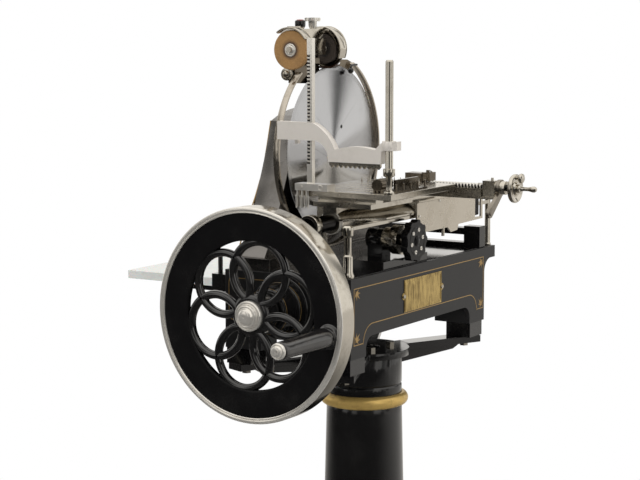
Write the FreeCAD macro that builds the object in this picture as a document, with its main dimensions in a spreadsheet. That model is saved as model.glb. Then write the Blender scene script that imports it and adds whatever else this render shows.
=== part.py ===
import FreeCAD, Part
import math
import os
import Sketcher

# Hand crank meat slicer on a pedestal.  Millimetres, +Z up, origin on the floor under the pedestal.
# +X runs from the knife to the feed handwheel, -Y points at the person who turns the flywheel.

SIZES = {
    # pedestal, collar and bracket
    "foot_radius": 255, "foot_rim": 22, "foot_height": 150, "foot_bolt_inset": 24, "foot_bolt_bore": 7,
    "column_base_radius": 94, "neck_radius": 82, "column_wall": 11,
    "ring_level": 656, "ring_tube": 14, "groove_rise": 33, "groove_depth": 3,
    "bracket_level": 767, "bracket_plate": 15, "bracket_hub": 98, "arm_width": 46, "rib_depth": 44,
    "rib_width": 14, "rib_gap": 4, "bolt_radius": 6, "bolt_head": 10, "bolt_head_height": 8,
    "head_bolt_circle": 58, "pad_height": 33, "pad_width": 60,
    # bed
    "bed_width": 303, "bed_front": 314, "bed_rear": 276, "bed_height": 164, "bed_wall": 11,
    "bed_deck": 12, "arch_height": 40, "arch_corner": 26, "foot_front": 61, "foot_back": 71,
    "foot_across": 88, "flange_reach": 52, "flange_depth": 26, "cove_radius": 30,
    "web_back": 106, "web_plate": 14, "web_top": 128, "bridge_width": 40, "bridge_level": 42,
    "bridge_plate": 20,
    "badge_length": 166, "badge_height": 69, "badge_plate": 2, "badge_centre": 13, "badge_level": 102,
    "badge_ear": 10, "badge_screw": 5,
    # flywheel and its shaft
    "wheel_offset": 10, "shaft_rise": 95, "shaft_radius": 14, "run_clear": 0.05, "bush_wall": 6,
    "housing_length": 64, "housing_radius": 50, "housing_flange": 66, "housing_flange_plate": 12,
    "wheel_gap": 2, "wheel_radius": 217.5, "rim_width": 48, "rim_wall": 16, "rim_lip": 12,
    "lip_depth": 4, "disc_plate": 14, "opening_radius": 150, "loop_offset": 88.3, "loop_radius": 62.5,
    "strand": 17.5, "strand_depth": 11, "wheel_hub_radius": 46, "wheel_hub_back": 14, "wheel_hub_front": 42,
    "nut_radius": 31, "nut_depth": 11, "nut_tip": 12,
    "grip_orbit": 187, "grip_length": 168, "grip_root_radius": 20.5, "grip_end_radius": 17.5,
    "grip_pin": 8, "grip_collar": 10, "collar_gap": 0.3, "grip_cap": 16,
    # bevel gears, cross shaft and crank
    "cross_y": -25, "cross_drive_radius": 36, "cross_gear_radius": 24, "gear_face": 0.28,
    "gear_shy": 0.4, "gear_hub": 12, "cross_shaft_radius": 10, "sprocket_drive_radius": 38,
    "sprocket_knife_radius": 20, "sprocket_width": 12, "chain_width": 8, "chain_depth": 6,
    "chain_clear": 0.5, "chain_gap": 20.5,
    "crank_y": 90, "crank_pinion_radius": 25, "crank_gear_radius": 50, "crank_disc_radius": 104,
    "crank_disc_plate": 14, "crank_throw": 88, "carriage_forward": 58, "crank_shaft_radius": 12,
    "rod_length": 220, "rod_plate": 9, "rod_eye": 16, "rod_pin": 8, "rod_clear": 2, "pin_clear": 0.5,
    # knife, its column, guard and chain
    "knife_gap": 18, "knife_y": -25, "knife_level": 1194, "knife_radius": 184, "knife_plate": 4,
    "knife_bevel": 18, "knife_bore": 16, "knife_shaft_radius": 14, "knife_flange": 34,
    "knife_flange_plate": 7,
    "column_inset": 1.5, "column_depth": 66, "column_skin": 9, "column_floor": 22,
    "column_top": 1262, "column_half_top": 116, "column_half_waist": 175, "column_waist": 1108,
    "column_half_foot": 258, "column_crown": 24, "knife_boss": 32,
    "guard_y": -40.5, "guard_level": 1196, "guard_radius": 208.5, "guard_wall": 4, "guard_depth": 14,
    "guard_start": 124.7, "guard_sweep": 298.3, "guard_lug": 10, "end_ball": 6.5, "end_ball_drop": 12,
    "knurl_radius": 13.5, "knurl_length": 12, "deflector_radius": 140,
    "deflector_plate": 2, "deflector_gap": 7,
    # sharpener
    "sharp_y": -111, "sharp_level": 1414, "stone_step": 1, "beam_gap": 24, "beam_plate": 16,
    "stone_radius": 41, "stone_width": 14, "stone_bore": 6, "stone_spread": 76, "hone_spread": 54,
    "hone_radius": 32, "hood_radius": 47, "hood_wall": 3, "hood_width": 26, "star_radius": 17.5,
    "star_level": 1470, "star_plate": 8.5, "star_screw": 5,
    # carriage and its rails
    "rod_x": 50, "rod_level": 1064, "rod_radius": 17, "sleeve_radius": 23, "sleeve_front": -228,
    "sleeve_back": 138, "stand_width": 50, "stand_plate": 20, "stand_boss": 6, "frame_front": 262,
    "frame_plate": 28, "frame_block": 40, "frame_block_height": 48, "frame_bar": 15, "frame_bar_level": 28,
    "frame_sill": 10, "frame_eye": 26, "frame_inset": 6,
    "rail_inset": 15.5, "rail_width": 12, "rail_level": 1060, "rail_height": 8, "rail_clear": 1,
    "post_front": -300, "post_back": 320, "post_radius": 6.5, "post_head": 11.5, "post_foot": 13,
    "runner_plate": 3.5, "runner_inset": 5, "deck_inset": 2, "cover_inset": 4.5, "carriage_front": -228,
    "deck_corner": 58,
    "carriage_back": 303, "carriage_level": 1096, "carriage_plate": 10, "way_height": 15.7,
    "way_width": 30, "lug_width": 16, "cover_plate": 4, "cover_rise": 4, "cover_rim": 4,
    "cover_front": -40, "cover_back": 265, "cover_drop": 72, "channel_front": 3, "channel_width": 36,
    "channel_wall": 4, "channel_floor": 4, "channel_height": 20.5,
    # feed table, screw and clamp
    "table_gap": 16, "table_overhang": 73, "table_recess": 50,
    "table_front": -275, "table_back": 2, "table_top": 1134,
    "table_plate": 12, "screw_y": 21, "screw_level": 1129, "screw_radius": 7, "screw_pitch": 7.5,
    "screw_lead": 18, "block_reach": 132, "block_length": 28, "block_side": 26, "block_height": 33,
    "collar_length": 22, "collar_radius": 14, "nut_reach": 148, "nut_length": 40, "nut_height": 24,
    "nut_width": 33, "nut_neck": 24, "nut_clear": 1.5, "stay_length": 19, "stay_width": 26,
    "stay_ball": 8.5, "hand_reach": 64, "hand_radius": 30, "hand_plate": 8, "hand_spindle": 44,
    "bar_front": -276, "bar_depth": 18, "post_reach": 79, "post_side": 12, "post_clear": 0.3,
    "tooth_pitch": 7.2, "tooth_depth": 5, "tooth_from": 1187, "tooth_count": 31, "tooth_share": 0.62,
    "post_top": 1441, "plain_inset": 9, "plain_radius": 8, "plain_top": 1400, "comb_height": 12,
    "comb_plate": 6, "comb_start": 124, "comb_clear": 10.2, "comb_count": 11, "clamp_level": 1194,
    # thickness dial
    "dial_y": -72, "dial_level": 1017.5, "dial_radius": 45, "dial_gap": 1.5, "dial_plate": 16,
    "dial_spindle": 8, "dial_barrel": 21, "dial_collar": 31, "dial_base": 18, "barrel_back": 98,
    "barrel_length": 40, "base_length": 75, "base_width": 190, "collar_back": 38, "collar_plate": 20,
    # receiving tray
    "tray_left": 481, "tray_gap": 8, "tray_front": -213, "tray_depth": 350, "tray_level": 925,
    "tray_plate": 18, "tray_arm_width": 22, "tray_arm_height": 12, "tray_arm_inset": 110,
    "tray_post": 5, "tray_post_height": 42,
    "socket_y": -283, "socket_offset": 33, "socket_side": 26, "socket_height": 36,
}

DOC = FreeCAD.newDocument("meat_slicer")
NODES = []
VECTOR = FreeCAD.Vector
TURNED = {
    "z": FreeCAD.Rotation(),
    "x": FreeCAD.Rotation(VECTOR(0, 1, 0), VECTOR(0, 0, 1), VECTOR(1, 0, 0), "ZXY"),
    "y": FreeCAD.Rotation(VECTOR(0, 0, 1), VECTOR(1, 0, 0), VECTOR(0, 1, 0), "ZXY"),
    "-y": FreeCAD.Rotation(VECTOR(1, 0, 0), VECTOR(0, 0, 1), VECTOR(0, -1, 0), "ZXY"),
}


class Size:
    """A size with its present value and the spreadsheet expression that gives it."""

    def __init__(self, value, text):
        self.value = value
        self.text = text

    def __add__(self, other):
        return Size(self.value + number(other), f"({self.text} + {words(other)})")

    def __radd__(self, other):
        return Size(number(other) + self.value, f"({words(other)} + {self.text})")

    def __sub__(self, other):
        return Size(self.value - number(other), f"({self.text} - {words(other)})")

    def __rsub__(self, other):
        return Size(number(other) - self.value, f"({words(other)} - {self.text})")

    def __mul__(self, other):
        return Size(self.value * number(other), f"({self.text} * {words(other)})")

    __rmul__ = __mul__

    def __truediv__(self, other):
        return Size(self.value / number(other), f"({self.text} / {words(other)})")

    def __neg__(self):
        return Size(-self.value, f"(0 - {self.text})")


def number(size):
    return size.value if isinstance(size, Size) else size


def words(size):
    return size.text if isinstance(size, Size) else repr(size)


def make_sizes():
    """Fill the spreadsheet and return one Size for each of its cells."""
    sheet = DOC.addObject("Spreadsheet::Sheet", "sizes")
    for row, (alias, value) in enumerate(SIZES.items(), start=1):
        sheet.set(f"A{row}", alias)
        sheet.set(f"B{row}", str(value))
        sheet.setAlias(f"B{row}", alias)
    DOC.recompute()
    return {alias: Size(float(sheet.get(alias)), f"sizes.{alias}") for alias in SIZES}


S = type("Sizes", (), make_sizes())

# Levels and places that several pieces share.
BED_FLOOR = S.bracket_level + S.pad_height
BED_TOP = BED_FLOOR + S.bed_height
BED_SIDE = S.bed_width / 2
DECK_UNDER = BED_TOP - S.bed_deck
SHAFT_LEVEL = BED_FLOOR + S.shaft_rise
SHAFT_X = -S.wheel_offset
HOUSING_END = -S.bed_front - S.housing_length
HUB_BACK = HOUSING_END - S.wheel_gap
RIM_BACK = HUB_BACK - S.wheel_hub_back
CHAIN_PLANE = BED_SIDE - S.bed_wall - S.chain_gap
COLUMN_OUTER = BED_SIDE - S.column_inset
COLUMN_INNER = COLUMN_OUTER - S.column_depth
KNIFE_PLANE = COLUMN_INNER - S.knife_gap
KNIFE_FRONT = -KNIFE_PLANE
KNIFE_BACK = KNIFE_FRONT - S.knife_plate
GUARD_FRONT = KNIFE_BACK - 4 + S.guard_depth
STONE_PLANE = KNIFE_PLANE + S.stone_step
BEAM_BACK = KNIFE_PLANE + S.beam_gap
BEAM_FRONT = BEAM_BACK - S.beam_plate
RAIL_X = BED_SIDE - S.rail_inset
RAIL_TOP = S.rail_level + S.rail_height
TABLE_LEFT = -KNIFE_PLANE + S.table_gap
TABLE_UNDER = S.table_top - S.table_plate
CARRIAGE_LEFT = TABLE_LEFT + S.deck_inset
CARRIAGE_RIGHT = BED_SIDE - S.cover_inset
DECK_TOP = S.carriage_level + S.carriage_plate
TABLE_RIGHT = CARRIAGE_RIGHT + S.table_overhang
NUT_LEFT = TABLE_LEFT + S.nut_reach
SCREW_LEFT = NUT_LEFT - S.screw_lead
BLOCK_LEFT = CARRIAGE_RIGHT + S.block_reach
HAND_X = BLOCK_LEFT + S.hand_reach
POST_X = TABLE_LEFT + S.post_reach
PLAIN_X = TABLE_RIGHT - S.plain_inset
DIAL_X = BED_SIDE + S.dial_gap
FOOT_X = BED_SIDE - S.pad_width / 2 - 2
FOOT_FRONT_Y = -S.bed_front + S.foot_front / 2
FOOT_BACK_Y = S.bed_rear - S.foot_back / 2
FEET = [(FOOT_X, FOOT_FRONT_Y), (-FOOT_X, FOOT_FRONT_Y), (FOOT_X, FOOT_BACK_Y), (-FOOT_X, FOOT_BACK_Y)]
REACH = S.crank_throw + S.rod_length - S.carriage_forward
ROD_PIN_LEVEL = SHAFT_LEVEL + S.crank_pinion_radius + S.crank_disc_plate


def bind(item, name, size):
    if isinstance(size, Size):
        item.setExpression(name, size.text)
    else:
        setattr(item, name, size)


def put(item, at, axis="z", turn=0):
    """Place an object: its own Z along axis, turned about itself by turn degrees."""
    spin = FreeCAD.Rotation(VECTOR(0, 0, 1), number(turn))
    item.Placement = FreeCAD.Placement(vector(*at), TURNED[axis] * spin)
    for letter, place in zip("xyz", at):
        if isinstance(place, Size):
            item.setExpression(f"Placement.Base.{letter}", place.text)
    return item


def vector(x, y, z=0):
    return VECTOR(number(x), number(y), number(z))


def node(item, label):
    """Name a finished piece and keep it for export."""
    item.Label = label
    NODES.append(item)
    return item


def box(at, size):
    item = DOC.addObject("Part::Box", "Block")
    for name, length in zip(("Length", "Width", "Height"), size):
        bind(item, name, length)
    return put(item, at)


def rod(at, axis, radius, length, sweep=360, turn=0):
    item = DOC.addObject("Part::Cylinder", "Rod")
    bind(item, "Radius", radius)
    bind(item, "Height", length)
    bind(item, "Angle", sweep)
    return put(item, at, axis, turn)


def cone(at, axis, start, end, length):
    item = DOC.addObject("Part::Cone", "Taper")
    bind(item, "Radius1", start)
    bind(item, "Radius2", end)
    bind(item, "Height", length)
    return put(item, at, axis)


def ball(at, radius):
    item = DOC.addObject("Part::Sphere", "Ball")
    bind(item, "Radius", radius)
    return put(item, at)


def join(*items):
    fused = DOC.addObject("Part::MultiFuse", "Joined")
    fused.Shapes = list(items)
    fused.Refine = True
    return fused


def cut(base, *tools):
    trimmed = DOC.addObject("Part::Cut", "Trimmed")
    trimmed.Base = base
    trimmed.Tool = tools[0] if len(tools) == 1 else join(*tools)
    trimmed.Refine = True
    return trimmed


def group(*items):
    bundle = DOC.addObject("Part::Compound", "Group")
    bundle.Links = list(items)
    return bundle


def made(shape, at=(0, 0, 0), axis="z", turn=0):
    item = DOC.addObject("Part::Feature", "Made")
    item.Shape = shape
    return put(item, at, axis, turn)


def new_sketch(body, plane, rise=0):
    sketch = body.newObject("Sketcher::SketchObject", "Sketch")
    support = next(part for part in body.Origin.OriginFeatures if part.Role == plane)
    sketch.AttachmentSupport = [(support, "")]
    sketch.MapMode = "FlatFace"
    if isinstance(rise, Size):
        sketch.AttachmentOffset = FreeCAD.Placement(VECTOR(0, 0, rise.value), FreeCAD.Rotation())
        sketch.setExpression("AttachmentOffset.Base.z", rise.text)
    return sketch


def hold(sketch, kind, corner, end, size):
    """Tie one coordinate of a sketch point to the sketch's origin."""
    index = sketch.addConstraint(Sketcher.Constraint(kind, -1, 1, corner, end, number(size)))
    if isinstance(size, Size):
        sketch.setExpression(f"Constraints[{index}]", size.text)


def draw_outline(sketch, corners):
    count = len(corners)
    for index, corner in enumerate(corners):
        line = Part.LineSegment(vector(*corner), vector(*corners[(index + 1) % count]))
        sketch.addGeometry(line, False)
    for index in range(count):
        sketch.addConstraint(Sketcher.Constraint("Coincident", index, 2, (index + 1) % count, 1))
    for index, (across, up) in enumerate(corners):
        hold(sketch, "DistanceX", index, 1, across)
        hold(sketch, "DistanceY", index, 1, up)


def draw_circle(sketch, across, up, radius):
    centre = vector(across, up)
    index = sketch.addGeometry(Part.Circle(centre, VECTOR(0, 0, 1), number(radius)), False)
    hold(sketch, "DistanceX", index, 3, across)
    hold(sketch, "DistanceY", index, 3, up)
    tie = sketch.addConstraint(Sketcher.Constraint("Radius", index, number(radius)))
    if isinstance(radius, Size):
        sketch.setExpression(f"Constraints[{tie}]", radius.text)


def add_turning(body, corners):
    sketch = new_sketch(body, "XZ_Plane")
    draw_outline(sketch, corners)
    turning = body.newObject("PartDesign::Revolution", "Turning")
    turning.Profile = sketch
    turning.ReferenceAxis = (sketch, ["V_Axis"])
    turning.Angle = 360
    body.Tip = turning
    return turning


def add_pad(body, draw, length, rise=0):
    sketch = new_sketch(body, "XY_Plane", rise)
    draw(sketch)
    pad = body.newObject("PartDesign::Pad", "Pad")
    pad.Profile = sketch
    bind(pad, "Length", length)
    body.Tip = pad
    return pad


def repeat_round(body, feature, count):
    pattern = body.newObject("PartDesign::PolarPattern", "Round")
    pattern.Originals = [feature]
    pattern.Axis = (feature.Profile[0], ["N_Axis"])
    pattern.Angle = 360
    pattern.Occurrences = count
    body.Tip = pattern
    return pattern


def turned(corners, at, axis="z"):
    """A lathe piece: corners are (radius, height) pairs about its own axis."""
    body = DOC.addObject("PartDesign::Body", "Body")
    add_turning(body, corners)
    return put(body, at, axis)


def sawn(corners, length, at, axis):
    """A plate with a straight-sided outline, padded along axis."""
    body = DOC.addObject("PartDesign::Body", "Body")
    add_pad(body, lambda sketch: draw_outline(sketch, corners), length)
    return put(body, at, axis)


def spun(steps):
    """A solid of revolution about Z from (r, z) points; a pair of points makes an arc."""
    return face_of(steps, lambda r, z: VECTOR(r, 0, z)).revolve(VECTOR(), VECTOR(0, 0, 1), 360)


def face_of(steps, lift):
    """A face from its corners; an item with two points is an arc through the first to the second."""
    edges = []
    start = last = lift(*[number(c) for c in steps[0]])
    for step in steps[1:]:
        if isinstance(step[0], tuple):
            middle, end = (lift(*[number(c) for c in point]) for point in step)
            edges.append(Part.Arc(last, middle, end).toShape())
        else:
            end = lift(*[number(c) for c in step])
            edges.append(Part.makeLine(last, end))
        last = end
    if last.distanceToPoint(start) > 1e-6:
        edges.append(Part.makeLine(last, start))
    return Part.Face(Part.Wire(edges))


# ---------------------------------------------------------------- pedestal and bracket

def make_pedestal():
    root = S.column_base_radius + 12
    inner = S.column_base_radius - S.column_wall
    shell = made(spun([
        (S.foot_radius, 0), (S.foot_radius, S.foot_rim - 6),
        ((S.foot_radius - 2, S.foot_rim - 2), (S.foot_radius - 6, S.foot_rim)),
        (S.foot_radius - 44, S.foot_rim + 4),
        ((root + 26, S.foot_rim + 44), (root, S.foot_height - 24)),
        (root, S.foot_height - 6), ((root - 2, S.foot_height - 2), (root - 6, S.foot_height)),
        (inner, S.foot_height), (inner, S.foot_height - 30),
        ((root + 8, S.foot_rim + 26), (S.foot_radius - 62, 0)),
    ]))
    circle = number(S.foot_radius - S.foot_bolt_inset)
    holes = []
    for quarter in range(4):
        angle = math.radians(45 + 90 * quarter)
        at = (circle * math.cos(angle), circle * math.sin(angle), -1)
        holes.append(rod(at, "z", S.foot_bolt_bore, S.foot_rim + 20))
    node(cut(shell, *holes), "pedestal_foot")
    rise = S.ring_level - S.foot_height
    column = turned([
        (inner, 0), (S.column_base_radius, 0), (S.neck_radius, rise), (S.neck_radius - S.column_wall, rise),
    ], (0, 0, S.foot_height))
    node(column, "pedestal_column")


def make_collar_and_head():
    torus = DOC.addObject("Part::Torus", "Collar")
    bind(torus, "Radius1", S.neck_radius)
    bind(torus, "Radius2", S.ring_tube)
    put(torus, (0, 0, S.ring_level))
    core = rod((0, 0, S.ring_level - S.ring_tube - 1), "z", S.neck_radius, S.ring_tube * 2 + 2)
    waist = cone((0, 0, S.ring_level - S.ring_tube - 1), "z", S.neck_radius + 1, S.neck_radius,
                 S.ring_tube + 1)
    node(cut(torus, core, waist), "collar_ring")
    inner = S.neck_radius - S.column_wall
    top = S.bracket_level - S.bracket_plate - S.ring_level
    groove = S.groove_rise
    head = turned([
        (inner, 0), (S.neck_radius, 0), (S.neck_radius, groove - S.groove_depth),
        (S.neck_radius - S.groove_depth, groove), (S.neck_radius, groove + S.groove_depth),
        (S.neck_radius, top), (inner - 28, top), (inner - 28, top - 14), (inner, top - 14),
    ], (0, 0, S.ring_level))
    holes = [rod((*head_bolt_place(k), S.ring_level), "z", S.bolt_radius, top + 1) for k in range(4)]
    node(cut(head, *holes), "column_head")


def head_bolt_place(index):
    angle = math.radians(45 + 90 * index)
    return S.head_bolt_circle * math.cos(angle), S.head_bolt_circle * math.sin(angle)


def make_arm(foot):
    """One bracket arm with its rib, from the hub to the bolt of a bed foot."""
    reach_x, reach_y = (number(place) for place in foot)
    length = math.hypot(reach_x, reach_y) + number(S.pad_width) / 2
    plate, width, rib = number(S.bracket_plate), number(S.arm_width), number(S.rib_width)
    start = number(S.neck_radius + S.rib_gap)
    bar = Part.makeBox(length, width, plate, VECTOR(0, -width / 2, -plate))
    side = [(start, -plate), (start, -number(S.rib_depth)), (length - 64, -plate - 12),
            (length - 44, -plate)]
    outline = Part.makePolygon([VECTOR(s, -rib / 2, z) for s, z in side + side[:1]])
    arm = bar.fuse(Part.Face(outline).extrude(VECTOR(0, rib, 0)))
    return made(arm, (0, 0, S.bracket_level), "z", math.degrees(math.atan2(reach_y, reach_x)))


def make_bracket():
    hub = rod((0, 0, S.bracket_level - S.bracket_plate), "z", S.bracket_hub, S.bracket_plate)
    star = join(hub, *[make_arm(foot) for foot in FEET])
    centre = rod((0, 0, S.bracket_level - S.bracket_plate - 1), "z", S.bracket_hub / 3,
                 S.bracket_plate + 2)
    bolts = [rod((*head_bolt_place(k), BED_FLOOR - 90), "z", S.bolt_radius, 100) for k in range(4)]
    node(cut(star, centre, *bolts, *[foot_bore(foot) for foot in FEET]), "stand_bracket")
    pads = []
    for foot_x, foot_y in FEET:
        corner = (foot_x - S.pad_width / 2, foot_y - S.foot_front / 2 + 1, S.bracket_level)
        block = box(corner, (S.pad_width, S.foot_front - 2, S.pad_height))
        pads.append(cut(block, foot_bore((foot_x, foot_y))))
    node(group(*pads), "foot_pads")


def foot_bore(foot):
    return rod((*foot, BED_FLOOR - S.pad_height - 60), "z", S.bolt_radius, S.pad_height + 130)


def hex_head(at, radius, height):
    """A six-sided bolt head standing on the point at."""
    prism = DOC.addObject("Part::Prism", "Hexagon")
    prism.Polygon = 6
    bind(prism, "Circumradius", radius)
    bind(prism, "Height", height)
    return put(prism, at)


def make_stand_bolts():
    bolts = []
    low = S.bracket_level - S.bracket_plate
    for foot in FEET:
        shank = rod((*foot, low), "z", S.bolt_radius, S.bracket_plate + S.pad_height + S.arch_height)
        nut_at = BED_FLOOR + S.arch_height
        head = hex_head((*foot, low - S.bolt_head_height), S.bolt_head, S.bolt_head_height)
        bolts.append(join(shank, head, hex_head((*foot, nut_at), S.bolt_head, S.bolt_head_height)))
    for index in range(4):
        place = head_bolt_place(index)
        shank = rod((*place, low - 14), "z", S.bolt_radius, S.bracket_plate + 14)
        bolts.append(join(shank, hex_head((*place, S.bracket_level), S.bolt_head, S.bolt_head_height)))
    node(group(*bolts), "stand_bolts")


# ---------------------------------------------------------------- bed

def arch_along_x(front, back):
    """The rounded opening between two feet, cut from side to side."""
    span_x = S.bed_width + 2
    left = -BED_SIDE - 1
    low = S.arch_height - S.arch_corner
    corner = S.arch_corner
    return [
        box((left, front, BED_FLOOR - 1), (span_x, back - front, low + 1)),
        box((left, front + corner, BED_FLOOR - 1), (span_x, back - front - corner * 2, S.arch_height + 1)),
        rod((left, front + corner, BED_FLOOR + low), "x", corner, span_x),
        rod((left, back - corner, BED_FLOOR + low), "x", corner, span_x),
    ]


def arch_along_y(half):
    """The same opening in the two end walls."""
    front = -S.bed_front - 1
    span_y = S.bed_front + S.bed_rear + 2
    low = S.arch_height - S.arch_corner
    corner = S.arch_corner
    return [
        box((-half, front, BED_FLOOR - 1), (half * 2, span_y, low + 1)),
        box((-half + corner, front, BED_FLOOR - 1), (half * 2 - corner * 2, span_y, S.arch_height + 1)),
        rod((-half + corner, front, BED_FLOOR + low), "y", corner, span_y),
        rod((half - corner, front, BED_FLOOR + low), "y", corner, span_y),
    ]


def make_bed():
    front = -S.bed_front
    length = S.bed_front + S.bed_rear
    wall = S.bed_wall
    outer = box((-BED_SIDE, front, BED_FLOOR), (S.bed_width, length, S.bed_height))
    flange = box((-BED_SIDE, S.bed_rear - 1, BED_TOP - S.flange_depth),
                 (S.bed_width, S.flange_reach + 1, S.flange_depth))
    under = BED_TOP - S.flange_depth - S.cove_radius
    cove = cut(box((-BED_SIDE, S.bed_rear - 1, under), (S.bed_width, S.cove_radius + 1, S.cove_radius)),
               rod((-BED_SIDE - 1, S.bed_rear + S.cove_radius, under), "x", S.cove_radius,
                   S.bed_width + 2))
    cavity = box((-BED_SIDE + wall, front + wall, BED_FLOOR - 1),
                 (S.bed_width - wall * 2, length - wall * 2, S.bed_height - S.bed_deck + 1))
    shell = cut(join(outer, flange, cove), cavity)
    feet = []
    for side in (-BED_SIDE, BED_SIDE - S.foot_across):
        feet.append(box((side, front, BED_FLOOR), (S.foot_across, S.foot_front, S.arch_height)))
        feet.append(box((side, S.bed_rear - S.foot_back, BED_FLOOR),
                        (S.foot_across, S.foot_back, S.arch_height)))
    web = box((-BED_SIDE + 1, -S.web_back - S.web_plate, BED_FLOOR + S.arch_height),
              (S.bed_width - 2, S.web_plate, S.web_top - S.arch_height))
    bridge = box((-BED_SIDE + 1, S.crank_y - S.bridge_width / 2, BED_FLOOR + S.bridge_level),
                 (S.bed_width - 2, S.bridge_width, S.bridge_plate))
    body = cut(join(shell, *feet, web, bridge),
               *arch_along_x(front + S.foot_front, S.bed_rear - S.foot_back),
               *arch_along_y(BED_SIDE - S.foot_across))
    node(cut(body, *bed_bores()), "bed_casting")


def bed_bores():
    """Every hole in the bed: bushes, deck slots and foot bolts."""
    bush = S.shaft_radius + S.bush_wall
    chain_left = -CHAIN_PLANE - S.sprocket_width
    lug_back = S.crank_y - S.rod_length + S.crank_throw + S.lug_width
    lug_front = S.crank_y - S.rod_length - S.crank_throw - S.lug_width
    return [
        rod((SHAFT_X, -S.bed_front - 1, SHAFT_LEVEL), "y", bush, S.bed_wall + 2),
        rod((SHAFT_X, -S.web_back - S.web_plate - 1, SHAFT_LEVEL), "y", bush, S.web_plate + 2),
        rod((-BED_SIDE - 1, S.cross_y, SHAFT_LEVEL), "x", S.cross_shaft_radius + S.bush_wall,
            S.bed_wall + 2),
        rod((SHAFT_X, S.crank_y, BED_FLOOR + S.bridge_level - 1), "z",
            S.crank_shaft_radius + S.bush_wall, S.bridge_plate + 2),
        box((chain_left, S.cross_y - S.sprocket_drive_radius - 14, DECK_UNDER - 1),
            (S.sprocket_width * 2, S.sprocket_drive_radius * 2 + 28, S.bed_deck + 2)),
        box((SHAFT_X - S.lug_width, lug_front, DECK_UNDER - 1),
            (S.lug_width * 2, lug_back - lug_front, S.bed_deck + 2)),
        *[foot_bore(foot) for foot in FEET],
    ]


def make_badge():
    centre = S.badge_centre * -1
    level = BED_FLOOR + S.badge_level
    plate = box((BED_SIDE, centre - S.badge_length / 2, level - S.badge_height / 2),
                (S.badge_plate, S.badge_length, S.badge_height))
    ear_y = S.badge_length / 2 + 2
    ears, holes, screws = [], [], []
    for side in (-1, 1):
        at = (BED_SIDE, centre + ear_y * side, level)
        ears.append(rod(at, "x", S.badge_ear, S.badge_plate))
        holes.append(rod((BED_SIDE - 1, *at[1:]), "x", S.badge_screw / 2, S.badge_plate + 2))
        screws.append(turned([(0, 0), (S.badge_screw / 2, 0), (S.badge_screw / 2, S.badge_plate),
                              (S.badge_screw, S.badge_plate), (S.badge_screw * 0.8, S.badge_plate + 2),
                              (S.badge_screw * 0.4, S.badge_plate + 3), (0, S.badge_plate + 3)],
                             at, "x"))
    node(cut(join(plate, *ears), *holes), "name_plate")
    node(group(*screws), "plate_screws")


# ---------------------------------------------------------------- flywheel and drive

def make_housing_and_bushes():
    bush = S.shaft_radius + S.bush_wall
    length = S.housing_length
    housing = turned([
        (bush, 0), (S.housing_flange, 0), (S.housing_flange, S.housing_flange_plate - 3),
        (S.housing_flange - 3, S.housing_flange_plate), (S.housing_radius + 3, S.housing_flange_plate),
        (S.housing_radius, S.housing_flange_plate + 5), (S.housing_radius - 5, length - 5),
        (S.housing_radius - 10, length), (bush, length),
    ], (SHAFT_X, -S.bed_front, SHAFT_LEVEL), "-y")
    node(housing, "shaft_housing")
    front = sleeve((SHAFT_X, HOUSING_END, SHAFT_LEVEL), "y", S.shaft_radius, length + S.bed_wall)
    middle = sleeve((SHAFT_X, -S.web_back - S.web_plate, SHAFT_LEVEL), "y", S.shaft_radius, S.web_plate)
    cross = sleeve((-BED_SIDE, S.cross_y, SHAFT_LEVEL), "x", S.cross_shaft_radius, S.bed_wall)
    crank = sleeve((SHAFT_X, S.crank_y, BED_FLOOR + S.bridge_level), "z", S.crank_shaft_radius,
                   S.bridge_plate)
    knife = sleeve((-COLUMN_OUTER, S.knife_y, S.knife_level), "x", S.knife_shaft_radius, 18)
    inner = sleeve((-COLUMN_INNER - 18, S.knife_y, S.knife_level), "x", S.knife_shaft_radius, 18)
    node(group(front, middle, cross, crank, knife, inner), "shaft_bushes")


def sleeve(at, axis, shaft_radius, length):
    """A bush: its bore runs on the shaft, its outside is held by the casting."""
    return turned([
        (shaft_radius + S.run_clear, 0), (shaft_radius + S.bush_wall, 0),
        (shaft_radius + S.bush_wall, length), (shaft_radius + S.run_clear, length),
    ], at, axis)


def make_flywheel():
    disc_back = S.rim_width - S.lip_depth - S.disc_plate
    disc_front = S.rim_width - S.lip_depth
    wheel = DOC.addObject("PartDesign::Body", "Body")
    add_turning(wheel, [
        (S.opening_radius, disc_back), (S.wheel_radius - S.rim_wall, disc_back),
        (S.wheel_radius - S.rim_wall, 0), (S.wheel_radius, 0), (S.wheel_radius, S.rim_width),
        (S.wheel_radius - S.rim_lip, S.rim_width), (S.wheel_radius - S.rim_lip, disc_front),
        (S.opening_radius, disc_front),
    ])

    def draw_loop(sketch):
        angle = math.radians(78)
        centre = (S.loop_offset * math.cos(angle), S.loop_offset * math.sin(angle))
        draw_circle(sketch, *centre, S.loop_radius + S.strand / 2)
        draw_circle(sketch, *centre, S.loop_radius - S.strand / 2)

    loop = add_pad(wheel, draw_loop, S.strand_depth, disc_front - 2.5 - S.strand_depth)
    repeat_round(wheel, loop, 6)
    add_pad(wheel, lambda sketch: draw_circle(sketch, 0, 0, S.wheel_hub_radius),
            S.wheel_hub_front + S.wheel_hub_back, -S.wheel_hub_back)
    put(wheel, (SHAFT_X, RIM_BACK, SHAFT_LEVEL), "-y")
    collar = rod(grip_place(RIM_BACK - disc_front - S.grip_collar + S.collar_gap), "y",
                 S.grip_root_radius - 3, S.grip_collar + S.disc_plate / 2)
    bore = rod((SHAFT_X, RIM_BACK - S.rim_width - 1, SHAFT_LEVEL), "y", S.shaft_radius,
               S.rim_width + S.wheel_hub_back + 2)
    pin_bore = rod(grip_place(RIM_BACK - S.rim_width - S.grip_collar), "y", S.grip_pin,
                   S.rim_width + S.grip_collar)
    node(cut(join(wheel, collar), bore, pin_bore), "flywheel")


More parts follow.
